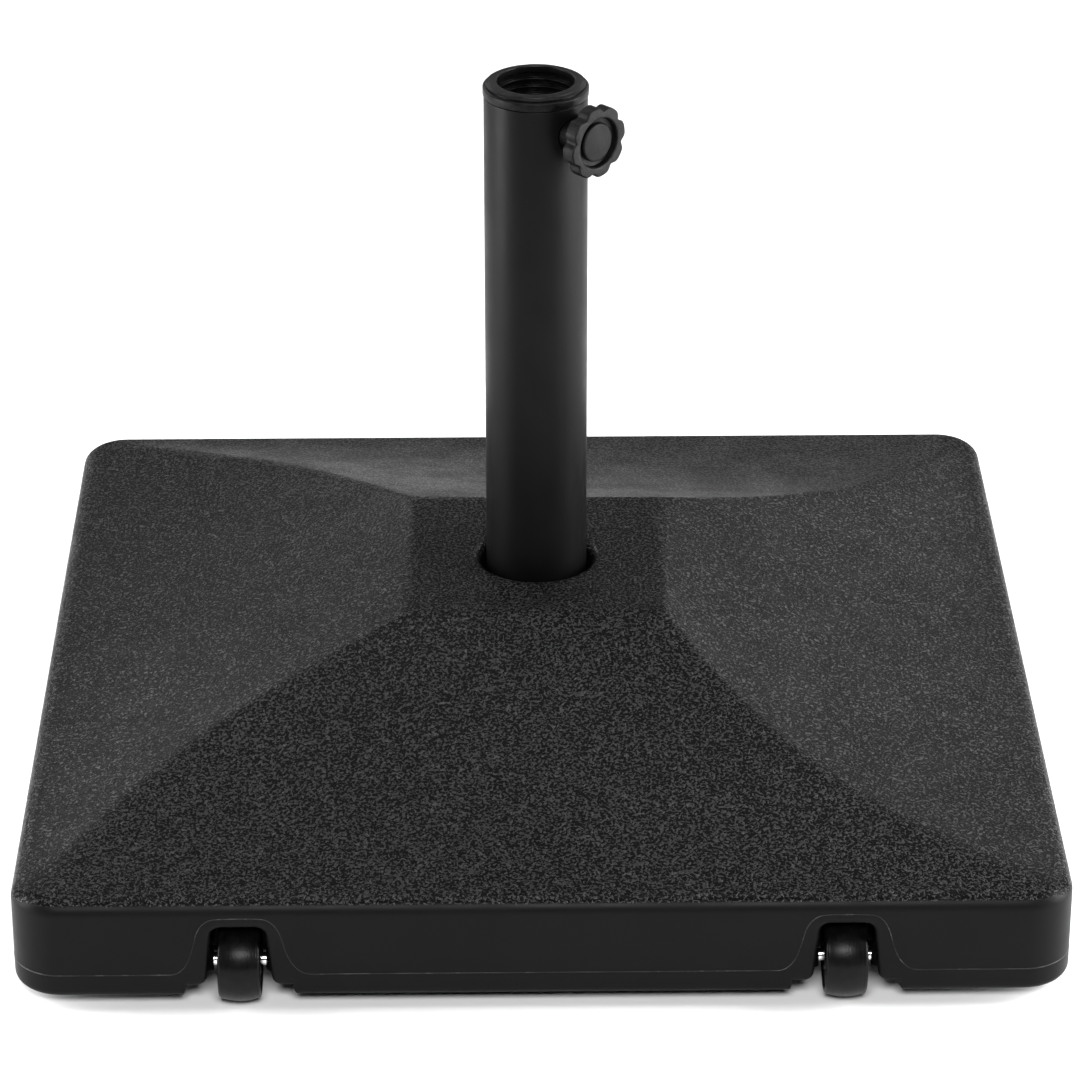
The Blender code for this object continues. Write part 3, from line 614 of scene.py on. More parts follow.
def shell_rings():
    rings = [round_ring(ANCHOR_HOLE_R, SOCKET_FLOOR), round_ring(SOCKET_R - 1.5 * MM, SOCKET_FLOOR)]
    for r, z in arc(SOCKET_R - 1.5 * MM, SOCKET_FLOOR + 1.5 * MM, 1.5 * MM, -90, 0, 4)[1:]:
        rings.append(round_ring(r, z))
    for i in range(1, 8):
        rings.append(round_ring(SOCKET_R, SOCKET_FLOOR + 1.5 * MM
                                + (PLATEAU_Z - LIP_R - SOCKET_FLOOR - 1.5 * MM) * i / 8))
    for i in range(0, 13):
        a = math.pi / 2 * i / 12
        rings.append(round_ring(SOCKET_R + LIP_R * (1 - math.cos(a)), PLATEAU_Z - LIP_R * (1 - math.sin(a))))
    # the flat: from the round lip to the square plateau
    last = round_ring(SOCKET_R + LIP_R, PLATEAU_Z)
    first = square_ring(PLATEAU_S - 6 * MM, 2.4 * MM, 0.0, PLATEAU_Z)
    for i in range(1, 8):
        k = i / 8
        rings.append([tuple(Vector(a).lerp(Vector(b), k)) for a, b in zip(last, first)])
    for i in range(0, 10):
        s = PLATEAU_S - 6 * MM + 6 * MM * i / 10
        rings.append(square_ring(s, (2.4 + 0.6 * i / 10) * MM, 0.0, soft_roof_z(s)))
    steps = 78
    tilt = math.radians(6.0)
    s_end = EDGE_S + FILLET * math.sin(tilt)
    for i in range(0, steps + 1):
        t = i / steps
        t = t ** 1.12
        s = PLATEAU_S + (s_end - PLATEAU_S) * t
        tt = (s - PLATEAU_S) / (EDGE_S - PLATEAU_S)
        z = soft_roof_z(s) if s < EDGE_S else EDGE_Z - (s - EDGE_S) * math.tan(tilt)
        rings.append(square_ring(s, (3.0 + 10.0 * min(tt, 1.0) ** 2) * MM, swirl(tt), z))
    z_c = rings[-1][0][2] - FILLET * math.cos(tilt)
    for i in range(1, 17):
        a = tilt + (math.pi / 2 - tilt) * i / 16
        rings.append(square_ring(EDGE_S + FILLET * math.sin(a), CORNER_R - FILLET * (1 - math.sin(a)), 0.0,
                                 z_c + FILLET * math.cos(a)))
    low = RIM_Z + RIM_FILLET
    for i in range(1, 12):
        rings.append(square_ring(HALF, CORNER_R, 0.0, z_c + (low - z_c) * i / 12))
    for i in range(0, 9):
        a = math.pi / 2 * i / 8
        rings.append(square_ring(HALF - RIM_FILLET * (1 - math.cos(a)), CORNER_R - RIM_FILLET * (1 - math.cos(a)),
                                 0.0, RIM_Z + RIM_FILLET * (1 - math.sin(a))))
    # underside, with the recess for the anchor bolt
    outer = square_ring(HALF - RIM_FILLET, CORNER_R - RIM_FILLET, 0.0, RIM_Z)
    inner = round_ring(RECESS_R + 1.5 * MM, RIM_Z)
    for i in range(1, 9):
        rings.append([tuple(Vector(a).lerp(Vector(b), i / 8)) for a, b in zip(outer, inner)])
    for r, z in arc(RECESS_R + 1.5 * MM, RIM_Z + 1.5 * MM, 1.5 * MM, -90, -180, 5)[1:]:
        rings.append(round_ring(r, z))
    rings.append(round_ring(RECESS_R, RECESS_TOP - 1 * MM))
    rings.append(round_ring(RECESS_R - 1 * MM, RECESS_TOP))
    rings.append(round_ring(ANCHOR_HOLE_R, RECESS_TOP))
    return rings


def offset_outline(pts, d):
    """Moves a closed outline (seen counter-clockwise) outwards by d."""
    out = []
    m = len(pts)
    for i in range(m):
        a, b, c = Vector(pts[i - 1]), Vector(pts[i]), Vector(pts[(i + 1) % m])
        e0, e1 = (b - a), (c - b)
        if e0.length < 1e-9:
            e0 = e1
        if e1.length < 1e-9:
            e1 = e0
        e0.normalize(); e1.normalize()
        n0, n1 = Vector((e0.y, -e0.x)), Vector((e1.y, -e1.x))
        nn = n0 + n1
        if nn.length < 1e-6:
            nn = n0
        nn.normalize()
        k = 1.0 / max(nn.dot(n1), 0.5)
        out.append((b.x + nn.x * d * k, b.y + nn.y * d * k))
    return out


def smooth_outline(points, radii, n=7):
    """Rounds the corners of a closed polygon, each with its own radius."""
    return rounded([(p[0], p[1], r) for p, r in zip(points, radii)], 0.0, n)


def mouth_cutter(name, outline, x0, depth, radius, tail=1.5 * MM):
    """Cuts the outline into the front face, with a rounded mouth and a softened far end."""
    rings = []
    sections = [(-6.0 * MM, None)]
    steps = 7
    stop = math.radians(14)
    for i in range(steps + 1):
        a = stop + (math.pi / 2 - stop) * i / steps     # from near the face inwards
        sections.append((radius * (1 - math.cos(a)) * 1.0, radius * (1 - math.sin(a))))
    first_d, first_off = sections[1]
    slope = math.tan(math.pi / 2 - stop)
    sections[0] = (first_d - 0.32 * MM, first_off + 0.32 * MM * slope)
    sections.append((depth - tail, 0.0))
    for i in range(1, 5):
        a = math.pi / 2 * i / 4
        sections.append((depth - tail + tail * math.sin(a), -tail * (1 - math.cos(a))))
    for d, off in sections:
        pts = offset_outline(outline, off)
        rings.append([(x0 + x, FRONT_Y + d, z) for x, z in pts])
    verts, faces = skin(rings, False)
    return mesh_object(name, verts, faces, None, None)


def well_points():
    """Outline of the wheel well, seen from the front; its foot rolls out into the raised bottom edge."""
    b = RIM_Z + NOTCH_UP + 0.02 * MM
    half = [((WELL_HALF_BOTTOM + 8.4 * MM, RIM_Z - 14 * MM), 0.0),
            ((WELL_HALF_BOTTOM + 8.4 * MM, b), 0.0),
            ((WELL_HALF_BOTTOM - 0.4 * MM, b), 4.6 * MM),
            ((WELL_HALF_AXLE - 0.2 * MM, WHEEL_Z + 6 * MM), 20 * MM),
            ((WELL_HALF_TOP, RIM_Z + WELL_TOP), 5.0 * MM)]
    left_side = [((-p[0], p[1]), r) for p, r in reversed(half)]
    allp = half + left_side
    return smooth_outline([p for p, _ in allp], [r for _, r in allp], 8)


def notch_points():
    """Outline of the raised bottom edge round each well, its outer corners well rounded."""
    b = RIM_Z + NOTCH_UP
    n, r = NOTCH_HALF - 0.7 * MM, 4.7 * MM
    bend = arc(n + r, RIM_Z - 0.4 * MM + r, r, 270, 180, 9)
    half = [((n + 12 * MM, RIM_Z - 14 * MM), 0.0), ((n + 12 * MM, RIM_Z - 0.4 * MM), 0.0)]
    half += [(p, 0.0) for p in bend]
    half += [((n - 0.2 * MM, b), 0.9 * MM)]
    left_side = [((-p[0], p[1]), q) for p, q in reversed(half)]
    allp = half + left_side
    return smooth_outline([p for p, _ in allp], [q for _, q in allp], 8)


def axle_cutter(x0):
    r, neck = AXLE_R + 0.35 * MM, 2.6 * MM
    a0 = math.asin(neck / r)
    outline = [(-neck, -30 * MM), (neck, -30 * MM)]
    for i in range(25):
        a = -math.pi / 2 + a0 + (2 * math.pi - 2 * a0) * i / 24
        outline.append((r * math.cos(a), r * math.sin(a)))
    rings = [[(x, WHEEL_Y + y, WHEEL_Z + z) for y, z in outline]
             for x in (x0 - AXLE_HALF - 0.4 * MM, x0 + AXLE_HALF + 0.4 * MM)]
    verts, faces = skin(rings, False)
    return mesh_object("cut_axle", verts, faces, None, None)


verts, faces = skin(shell_rings(), True)
shell = mesh_object("shell", verts, faces, "shell", None)
cutters = []
for side, x0 in SIDES:
    cutters.append(mouth_cutter("cut_notch", notch_points(), x0, NOTCH_DEEP, 1.6 * MM, 2.0 * MM))
    cutters.append(mouth_cutter("cut_well", well_points(), x0, WELL_DEEP, 2.2 * MM, 2.5 * MM))
    cutters.append(axle_cutter(x0))
filler = Matrix.Translation((FILLER_AT[0], BASE_Y + FILLER_AT[1], RIM_Z))
cutters.append(turned("cut_filler", [(FILLER_R + 5.2 * MM, -3 * MM), (FILLER_R + 4.8 * MM, -0.4 * MM),
                                     (FILLER_R + 4.0 * MM, 0.5 * MM), (FILLER_R + 4.0 * MM, 1.5 * MM),
                                     (FILLER_R, 1.5 * MM), (FILLER_R, 3.4 * MM)], filler, 72, None, False, None))
for x in (-FOOT_AT, FOOT_AT):
    for y in (-FOOT_AT, FOOT_AT):
        f = Matrix.Translation((x, BASE_Y + y, RIM_Z))
        cutters.append(turned("cut_stem", [(4.3 * MM, -3 * MM), (4.3 * MM, 6.6 * MM)], f, 32, None, False, None))
cut(shell, cutters, 32.0)
place(shell, "root", "shell", "base_shell")


# ------------------------------------------------------------------ the mould's parting line
def bead(name, path, normals, radius, mat, closed=False, taper=0.0, seed=3):
    """A fine raised line along path, pressed into the surface, its height wandering a little."""
    rng = np.random.default_rng(seed)
    n = len(path)
    wander = np.convolve(rng.normal(size=n + 16), np.ones(9) / 9, 'same')[8:8 + n]
    spots = rng.random(n)
    rings = []
    for i, (p, nv) in enumerate(zip(path, normals)):
        a = path[i - 1] if i or closed else path[0]
        b = path[(i + 1) % n] if i < n - 1 or closed else path[-1]
        along = (b - a).normalized()
        side_v = along.cross(nv).normalized()
        k = 1.0 + 0.55 * wander[i] + (0.7 if spots[i] > 0.988 else 0.0)
        if not closed:
            k *= min(1.0, 0.25 + min(i, n - 1 - i) / 6)
        r = radius * max(k, 0.45)
        ring = []
        for j in range(8):
            t = 2 * math.pi * j / 8
            ring.append(p + side_v * (r * 0.9 * math.cos(t)) + nv * (r * math.sin(t) * 0.9 - 0.25 * radius))
        rings.append(ring)
    if closed:
        verts, faces = skin(rings, True)
        return mesh_object(name, verts, faces, mat, None)
    verts, faces = skin(rings, False)
    return mesh_object(name, verts, faces, mat, None)


def front_line():
    """Parting line across the front face: level, and up and over each well."""
    level = RIM_Z + 12.4 * MM
    arch = [(-36, 0.0), (-31, 0.1), (-28.0, 1.5), (-25.6, 4.0), (-23.6, 7.6), (-22.0, 12.5), (-20.6, 18.0),
            (-19.4, 22.6), (-17.2, 26.6), (-14.0, 29.4), (-9.8, 30.4), (0, 30.6), (9.8, 30.4), (14.0, 29.4),
            (17.2, 26.4), (19.4, 22.2), (20.8, 17.6), (22.2, 12.3), (24.2, 7.2), (26.6, 3.6), (29.4, 1.2),
            (33, 0.1), (38, 0.0)]
    pts = []
    for side, x0 in SIDES:
        for x, z in arch:
            pts.append((x0 + x * MM, level + z * MM))
    lo, hi = -HALF + CORNER_R, HALF - CORNER_R
    pts = [(lo, level)] + pts + [(hi, level)]
    # smooth it
    dense = []
    m = len(pts)
    for i in range(m - 1):
        p0, p1, p2, p3 = pts[max(i - 1, 0)], pts[i], pts[i + 1], pts[min(i + 2, m - 1)]
        far = 15 * MM
        if math.hypot(p1[0] - p0[0], p1[1] - p0[1]) > far or p0 == p1:
            p0 = (2 * p1[0] - p2[0], 2 * p1[1] - p2[1])
        if math.hypot(p3[0] - p2[0], p3[1] - p2[1]) > far or p3 == p2:
            p3 = (2 * p2[0] - p1[0], 2 * p2[1] - p1[1])
        if math.hypot(p2[0] - p1[0], p2[1] - p1[1]) > far:
            p0 = (2 * p1[0] - p2[0], 2 * p1[1] - p2[1])
            p3 = (2 * p2[0] - p1[0], 2 * p2[1] - p1[1])
        steps = max(2, int(math.hypot(p2[0] - p1[0], p2[1] - p1[1]) / (1.2 * MM)))
        for k in range(steps):
            t = k / steps
            q = []
            for c in (0, 1):
                q.append(0.5 * (2 * p1[c] + (p2[c] - p0[c]) * t + (2 * p0[c] - 5 * p1[c] + 4 * p2[c] - p3[c]) * t * t
                                + (3 * p1[c] - p0[c] - 3 * p2[c] + p3[c]) * t ** 3))
            dense.append(q)
    dense.append(pts[-1])
    # keep straight stretches straight
    return [(x, level if z < level + 0.02 * MM else z) for x, z in dense]


path, normals = [], []
line = front_line()
for x, z in line:
    path.append(Vector((x, FRONT_Y, z)))
    normals.append(Vector((0, -1, 0)))
level = line[0][1]
h = HALF - CORNER_R
corners = [((h, -h), -90, (1, 0), (h, h)), ((h, h), 0, (0, 1), (-h, h)), ((-h, h), 90, (-1, 0), (-h, -h)),
           ((-h, -h), 180, None, None)]
for (cx, cy), a0, n1, nxt in corners:
    for i in range(1, 19):
        a = math.radians(a0 + 90 * i / 18)
        nv = Vector((math.cos(a), math.sin(a), 0))
        path.append(Vector((cx, cy + BASE_Y, level)) + nv * CORNER_R)
        normals.append(nv)
    if nxt:
        nv = Vector((n1[0], n1[1], 0))
        start = path[-1]
        end = Vector((nxt[0], nxt[1] + BASE_Y, level)) + nv * CORNER_R
        for i in range(1, 240):
            path.append(start.lerp(end, i / 240))
            normals.append(nv)
mould_line = bead("mould_line", path[:-1], normals[:-1], 0.27 * MM, "seam", closed=True)
place(mould_line, "root", "shell")

# ------------------------------------------------------------------ plug, tube, bush
plug_profile = rounded([(0.4 * MM, 1.0 * MM, 0), (FILLER_R - 5 * MM, 1.0 * MM), (FILLER_R - 4 * MM, 0.1 * MM),
                        (FILLER_R + 3.7 * MM, 0.1 * MM), (FILLER_R + 3.7 * MM, 1.2 * MM, 0.1 * MM),
                        (FILLER_R - 0.3 * MM, 1.2 * MM, 0), (FILLER_R - 0.3 * MM, 3.3 * MM, 0.1 * MM),
                        (0.4 * MM, 3.3 * MM, 0)], 0.4 * MM)
plug = turned("filler_cap", plug_profile[:-1] + [plug_profile[-1]], filler, 96, "plug", True)
place(plug, "root", "plug", "filler_plug")

tube_profile = rounded([(TUBE_R, TUBE_Z, 0.3 * MM), (TUBE_R, TUBE_TOP), (TUBE_R - TUBE_WALL, TUBE_TOP),
                        (TUBE_R - TUBE_WALL, TUBE_Z, 0.3 * MM)], 0.45 * MM, 4)
tube = turned("tube", tube_profile, AXIS, 160, "tube")
side_hole = turned("cut_side", [(6.1 * MM, 12 * MM), (6.1 * MM, 33 * MM)], SCREW, 48, None, False, None)
cut(tube, [side_hole])
place(tube, "root", "tube", "pole_tube")

BUSH_R = TUBE_R - TUBE_WALL - 0.3 * MM
FLANGE_R = TUBE_R + 0.45 * MM
bush_points = [(BUSH_R, BUSH_BOTTOM, 0.8 * MM), (BUSH_R, TUBE_TOP + 0.3 * MM, 0.2 * MM),
               (FLANGE_R, TUBE_TOP + 0.3 * MM, 0.4 * MM),
               (FLANGE_R, BUSH_TOP - 2.75 * MM, 0.45 * MM),
               (FLANGE_R - 1.35 * MM, BUSH_TOP - 2.35 * MM, 0.12 * MM),
               (FLANGE_R - 1.50 * MM, BUSH_TOP - 1.25 * MM, 0.30 * MM),
               (FLANGE_R - 3.1 * MM, BUSH_TOP - 0.80 * MM, 0.10 * MM),
               (FLANGE_R - 3.25 * MM, BUSH_TOP - 0.50 * MM, 0.15 * MM),
               (BUSH_BORE_R + 1.1 * MM, BUSH_TOP - 0.05 * MM, 0.4 * MM),
               (BUSH_BORE_R + 0.15 * MM, BUSH_TOP, 0.25 * MM),
               (BUSH_BORE_R - 0.1 * MM, BUSH_TOP - 0.45 * MM, 0.25 * MM)]
rib_z = BUSH_TOP - 3.2 * MM
while rib_z > BUSH_BOTTOM + 6 * MM:
    bush_points += [(BUSH_BORE_R, rib_z, 0.2 * MM), (BUSH_BORE_R + 1.1 * MM, rib_z - 0.5 * MM, 0.3 * MM),
                    (BUSH_BORE_R + 1.1 * MM, rib_z - 3.0 * MM, 0.3 * MM),
                    (BUSH_BORE_R + 0.1 * MM, rib_z - 3.4 * MM, 0.15 * MM)]
    rib_z -= 4.0 * MM
bush_points.append((BUSH_BORE_R, BUSH_BOTTOM, 0.4 * MM))
bush = turned("bush", rounded(bush_points, 0.3 * MM, 3), AXIS, 128, "bush", True, 40.0)
bush_hole = turned("cut_side", [(6.1 * MM, 12 * MM), (6.1 * MM, 33 * MM)], SCREW, 48, None, False, None)
cut(bush, [bush_hole], 40.0)
place(bush, "root", "bush", "reducer_bush")

# ------------------------------------------------------------------ welded nut
weld = [(SCREW_R + 0.35 * MM, 22 * MM, 0), (8.6 * MM, 22 * MM, 0), (8.6 * MM, NUT_OUT),
        (SCREW_R + 1.0 * MM, NUT_OUT, 0.2 * MM), (SCREW_R + 0.35 * MM, NUT_OUT - 0.7 * MM, 0)]
# the nut and its weld bead wear the darker painted-shade copy of the tube's coat
nut = turned("weld_nut", rounded(weld, 0.8 * MM, 5), SCREW, 72, "coat")
saddle = turned("cut_saddle", [(TUBE_R + 0.25 * MM, KNOB_Z - 40 * MM), (TUBE_R + 0.25 * MM, KNOB_Z + 40 * MM)],
                AXIS, 200, None, False, None)
cut(nut, [saddle])
place(nut, "root", "tube", "clamp_nut")


def weld_bead():
    """The fillet weld round the nut's foot, laid along the tube's curve."""
    rings = []
    n = 132
    for i in range(n):
        a = 2 * math.pi * i / n
        r = 8.6 * MM + 0.1 * MM
        px, pz = r * math.cos(a), r * math.sin(a)
        depth = math.sqrt(TUBE_R ** 2 - px * px)
        base = Vector((px, pz, depth))
        radial = Vector((math.cos(a), math.sin(a), 0))
        nrm = Vector((px / TUBE_R, 0, depth / TUBE_R))
        ripple = 1.0 + 0.10 * math.sin(a * 33)
        ring = []
        for j in range(10):
            t = 2 * math.pi * j / 10
            q = base + radial * (0.8 * MM * ripple * math.cos(t)) + nrm * (0.8 * MM * ripple * math.sin(t) + 0.1 * MM)
            ring.append(SCREW @ q)
        rings.append(ring)
    verts, faces = skin(rings, True)
    return mesh_object("weld_bead", verts, faces, "coat", None)


place(weld_bead(), "root", "tube")

# ------------------------------------------------------------------ knob
KNOB_N = KNOB_LOBES * 30


def lobe(a, depth):
    """How far the rim falls back at angle a: narrow scallops between broad lobes."""
    k = 0.5 + 0.5 * math.cos(KNOB_LOBES * (a - KNOB_PHASE))
    return depth * k ** 3.1


def knob_ring(r_tip, depth, hgt):
    pts = []
    for j in range(KNOB_N):
        a = 2 * math.pi * j / KNOB_N
        r = r_tip - lobe(a, depth)
        pts.append(SCREW @ Vector((r * math.cos(a), r * math.sin(a), hgt)))
    return pts


rings = [knob_ring(SCREW_R + 0.3 * MM, 0, KNOB_HUB), knob_ring(7.9 * MM, 0, KNOB_HUB),
         knob_ring(8.35 * MM, 0, KNOB_HUB + 0.15 * MM), knob_ring(8.5 * MM, 0, KNOB_HUB + 0.5 * MM),
         knob_ring(8.7 * MM, 0, KNOB_BACK - 0.4 * MM), knob_ring(9.2 * MM, 0, KNOB_BACK)]
for r, k in ((11.5, 0.0), (14.0, 0.35)):
    rings.append(knob_ring(r * MM, KNOB_NOTCH * k, KNOB_BACK))
edge = 0.9 * MM
for i in range(0, 6):
    a = math.pi / 2 * i / 5
    rings.append(knob_ring(KNOB_R - edge * (1 - math.sin(a)), KNOB_NOTCH, KNOB_BACK + edge * (1 - math.cos(a))))
for i in range(1, 4):
    rings.append(knob_ring(KNOB_R, KNOB_NOTCH, KNOB_BACK + edge + (KNOB_FACE - KNOB_BACK - 2 * edge) * i / 4))
for i in range(0, 6):
    a = math.pi / 2 * i / 5
    rings.append(knob_ring(KNOB_R - edge * (1 - math.cos(a)), KNOB_NOTCH, KNOB_FACE - edge * (1 - math.sin(a))))
rings.append(knob_ring(15.2 * MM, KNOB_NOTCH * 0.45, KNOB_FACE + 0.02 * MM))
rings.append(knob_ring(13.6 * MM, 0, KNOB_FACE + 0.02 * MM))
for r, hgt in ((12.95, 43.45), (12.6, 43.2), (12.45, 42.8), (12.3, 41.0), (12.1, 40.55), (11.7, 40.4), (8.0, 40.4),
               (7.9, 40.2), (7.9, 37.1), (SCREW_R / MM + 0.3, 37.0)):
    rings.append(knob_ring(r * MM, 0, hgt * MM))
verts, faces = skin(rings, True)
knob = mesh_object("knob", verts, faces, "knob", 40.0)
place(knob, "knob", "knob", "clamp_knob")

cap_profile = [(0.3 * MM, 40.7 * MM), (9.4 * MM, 40.7 * MM), (9.7 * MM, 41.0 * MM), (9.7 * MM, 41.8 * MM)]
cap_profile += [(9.7 * MM - 1.1 * MM * (1 - math.cos(math.radians(a))), 41.8 * MM + 0.9 * MM * math.sin(math.radians(a)))
                for a in (15, 30, 45, 60, 75, 90)]
cap_profile += [(r * MM, (42.7 + 0.30 * (1 - (r / 8.6) ** 2)) * MM) for r in (7.0, 5.0, 3.0, 1.2, 0.3)]
cap = turned("knob_disc", cap_profile, SCREW, 96, "cap", False)
place(cap, "knob", "knob", "knob_cap")


def threaded(name, r, pitch, h0, h1, frame_m, mat, n=40, right_hand=True, depth=None):
    """A threaded rod from h0 to h1, as one helical skin with plain ends."""
    depth = depth or 0.61 * pitch
    rows = int((h1 - h0) / pitch * 8)
    rings = []
    for i in range(rows + 1):
        hgt = h0 + (h1 - h0) * i / rows
        fade = min(1.0, min(i, rows - i) / 6)
        ring = []
        for j in range(n):
            a = 2 * math.pi * j / n
            ph = (hgt / pitch - (a / (2 * math.pi) if right_hand else -a / (2 * math.pi))) % 1.0
            tri = abs(ph - 0.5) * 2
            cutd = depth * min(max((tri - 0.12) / 0.76, 0.0), 1.0)
            rr = r - cutd * fade - depth * 0.5 * (1 - fade)
            ring.append(frame_m @ Vector((rr * math.cos(a), rr * math.sin(a), hgt)))
        rings.append(ring)
    return rings


def hex_ring(af, hgt, frame_m, n, k=1.0):
    pts = []
    for j in range(n):
        a = 2 * math.pi * j / n
        q = a % (math.pi / 3) - math.pi / 6
        rr = af / 2 / math.cos(q)
        rr = min(rr, af / 2 * k) if k > 1 else rr * k
        pts.append(frame_m @ Vector((rr * math.cos(a), rr * math.sin(a), hgt)))
    return pts


def circ(r, hgt, frame_m, n):
    return [frame_m @ Vector((r * math.cos(2 * math.pi * j / n), r * math.sin(2 * math.pi * j / n), hgt))
            for j in range(n)]


# clamp screw: nose in the pad, thread through the nut, hex head in the knob
SN = 48
rings = [circ(2.6 * MM, 21.2 * MM, SCREW, SN), circ(3.0 * MM, 21.6 * MM, SCREW, SN),
         circ(3.0 * MM, 22.9 * MM, SCREW, SN), circ(3.3 * MM, 22.9 * MM, SCREW, SN)]
rings += threaded("t", SCREW_R, 1.25 * MM, 23.2 * MM, 37.2 * MM, SCREW, "screw", SN)
rings += [circ(SCREW_R, 37.3 * MM, SCREW, SN), hex_ring(13 * MM, 37.3 * MM, SCREW, SN),
          hex_ring(13 * MM, 39.4 * MM, SCREW, SN), circ(6.2 * MM, 39.9 * MM, SCREW, SN)]
verts, faces = skin(rings, False)
screw = mesh_object("screw", verts, faces, "screw", 40.0)
place(screw, "knob", "zinc", "clamp_screw")

pad_profile = rounded([(3.35 * MM, 22.6 * MM, 0), (5.5 * MM, 22.6 * MM, 0.3 * MM), (5.5 * MM, 19.3 * MM, 0.9 * MM),
                       (0.3 * MM, 19.3 * MM, 0), (0.3 * MM, 20.9 * MM, 0), (3.35 * MM, 20.9 * MM, 0)], 0.3 * MM, 4)
pad = turned("tip_pad", pad_profile, SCREW, 64, "pad", True)
place(pad, "pad", "bush", "pressure_pad")

# ------------------------------------------------------------------ rollers and axles
ACROSS = Matrix(((0.0, 0.0, 1.0, 0.0), (1.0, 0.0, 0.0, 0.0), (0.0, 1.0, 0.0, 0.0), (0.0, 0.0, 0.0, 1.0)))
crown = []
for i in range(0, 41):
    x = -9.2 + 18.4 * i / 40
    r = 20.0 - 0.75 * (x / 9.2) ** 2
    crown.append([r, x])
# the side face, from the bore out to the tread; the ridge for the tread's mould line set out below is not put into
# the profile
half_prof = [(3.35, 10.0, 0.2), (6.8, 10.0, 0.3), (7.3, 9.0, 0.3), (15.4, 9.0, 0.4), (16.4, 9.9, 0.3),
             (17.4, 9.9, 0.0)]
for side, x0 in SIDES:
    f = Matrix.Translation((x0, WHEEL_Y, WHEEL_Z)) @ ACROSS
    prof = [(3.35, -10.0, 0.2)]
    pts = [(a * MM, -b * MM, c * MM) for a, b, c in half_prof]
    shoulder = [(20.0 - 1.25 - 1.9 * (1 - math.cos(math.radians(t))), 8.1 + 1.9 * math.sin(math.radians(t)))
                for t in range(90, -1, -10)]
    tread = [(r * MM, -w * MM) for r, w in shoulder]
    inner = []
    for i in range(1, 40):
        w = -8.1 + 16.2 * i / 40
        r = 20.0 - 1.25 * (w / 8.1) ** 2
        inner.append((r * MM, w * MM))
    ridge = [(20.0 * MM, -0.35 * MM), (20.0 * MM, -0.12 * MM)]
    tread_r = [(r * MM, w * MM) for r, w in reversed(shoulder)]
    left_prof = rounded(pts, 0.3 * MM, 3)
    right_prof = [(r, -w) for r, w in reversed(left_prof)]
    profile = left_prof + tread + inner + tread_r + right_prof
    wheel = turned("roller_" + side, profile, f, 120, "roller")
    place(wheel, "roller_" + side, "roller", "wheel_" + side)
    axle = turned("axle_pin_" + side, [(0.3 * MM, -AXLE_HALF), (AXLE_R - 0.6 * MM, -AXLE_HALF),
                                       (AXLE_R - 0.2 * MM, -AXLE_HALF + 0.2 * MM),
                                       (AXLE_R, -AXLE_HALF + 0.7 * MM), (AXLE_R, -11.5 * MM), (AXLE_R, 0.0),
                                       (AXLE_R, 11.5 * MM), (AXLE_R, AXLE_HALF - 0.7 * MM),
                                       (AXLE_R - 0.2 * MM, AXLE_HALF - 0.2 * MM),
                                       (AXLE_R - 0.6 * MM, AXLE_HALF), (0.3 * MM, AXLE_HALF)], f, 64, "axle", False)
    place(axle, "root", "axle", "axle_" + side)
    for end, sign in (("outer", -1.0), ("inner", 1.0)):
        # bosses in the well walls round the axle: real shape that shortens the axle's visible ends, coloured extra
        # dark as painted shade
        boss = rounded([(3.35 * MM, sign * 12.5 * MM), (5.4 * MM, sign * 12.5 * MM, 0.5 * MM),
                        (6.6 * MM, sign * 15.2 * MM, 0), (3.35 * MM, sign * 15.2 * MM, 0)], 0.2 * MM, 4)
        if sign < 0:
            boss.reverse()
        ob = turned("axle_boss_" + side + "_" + end, boss, f, 48, "boss")
        place(ob, "root", "shell")

# ------------------------------------------------------------------ anchor fasteners and foot plate
PLATE_Z = SOCKET_FLOOR + 0.3 * MM
plate_top = PLATE_Z + 4 * MM
plate = turned("foot_plate", rounded([(6.5 * MM, PLATE_Z), (27.6 * MM, PLATE_Z), (27.6 * MM, plate_top),
                                      (23.4 * MM, plate_top, 0.2 * MM), (23.4 * MM, plate_top + 1.7 * MM),
                                      (12.5 * MM, plate_top + 1.7 * MM), (12.5 * MM, plate_top, 0.2 * MM),
                                      (6.5 * MM, plate_top)], 0.4 * MM, 3), AXIS, 96, "zinc")
place(plate, "root", "zinc", "tube_foot_plate")
z1 = RECESS_TOP - 0.3 * MM
washer = turned("washer", rounded([(6.6 * MM, z1 - 2.5 * MM), (18 * MM, z1 - 2.5 * MM), (18 * MM, z1),
                                   (6.6 * MM, z1)], 0.35 * MM, 3), AXIS, 96, "zinc")
place(washer, "root", "zinc", "anchor_washer")
z1 -= 2.8 * MM


def spring_washer(z_lo, z_hi):
    n, half_cut = 96, math.radians(7)
    rings = []
    for i in range(n + 1):
        a = half_cut + (2 * math.pi - 2 * half_cut) * i / n
        lift = 0.35 * MM * (i / n - 0.5)
        ring = []
        for r, z in rounded([(6.6 * MM, z_lo + 0.2 * MM), (10.5 * MM, z_lo + 0.2 * MM), (10.5 * MM, z_hi - 0.2 * MM),
                             (6.6 * MM, z_hi - 0.2 * MM)], 0.3 * MM, 2):
            slant = math.radians(4) * (1 if z > (z_lo + z_hi) / 2 else -1) if i in (0, n) else 0.0
            ring.append((r * math.cos(a + slant), r * math.sin(a + slant) + BASE_Y, z + lift * 0.5))
        rings.append(ring)
    verts, faces = skin(rings, False)
    return mesh_object("spring_washer", verts, faces, "zinc")


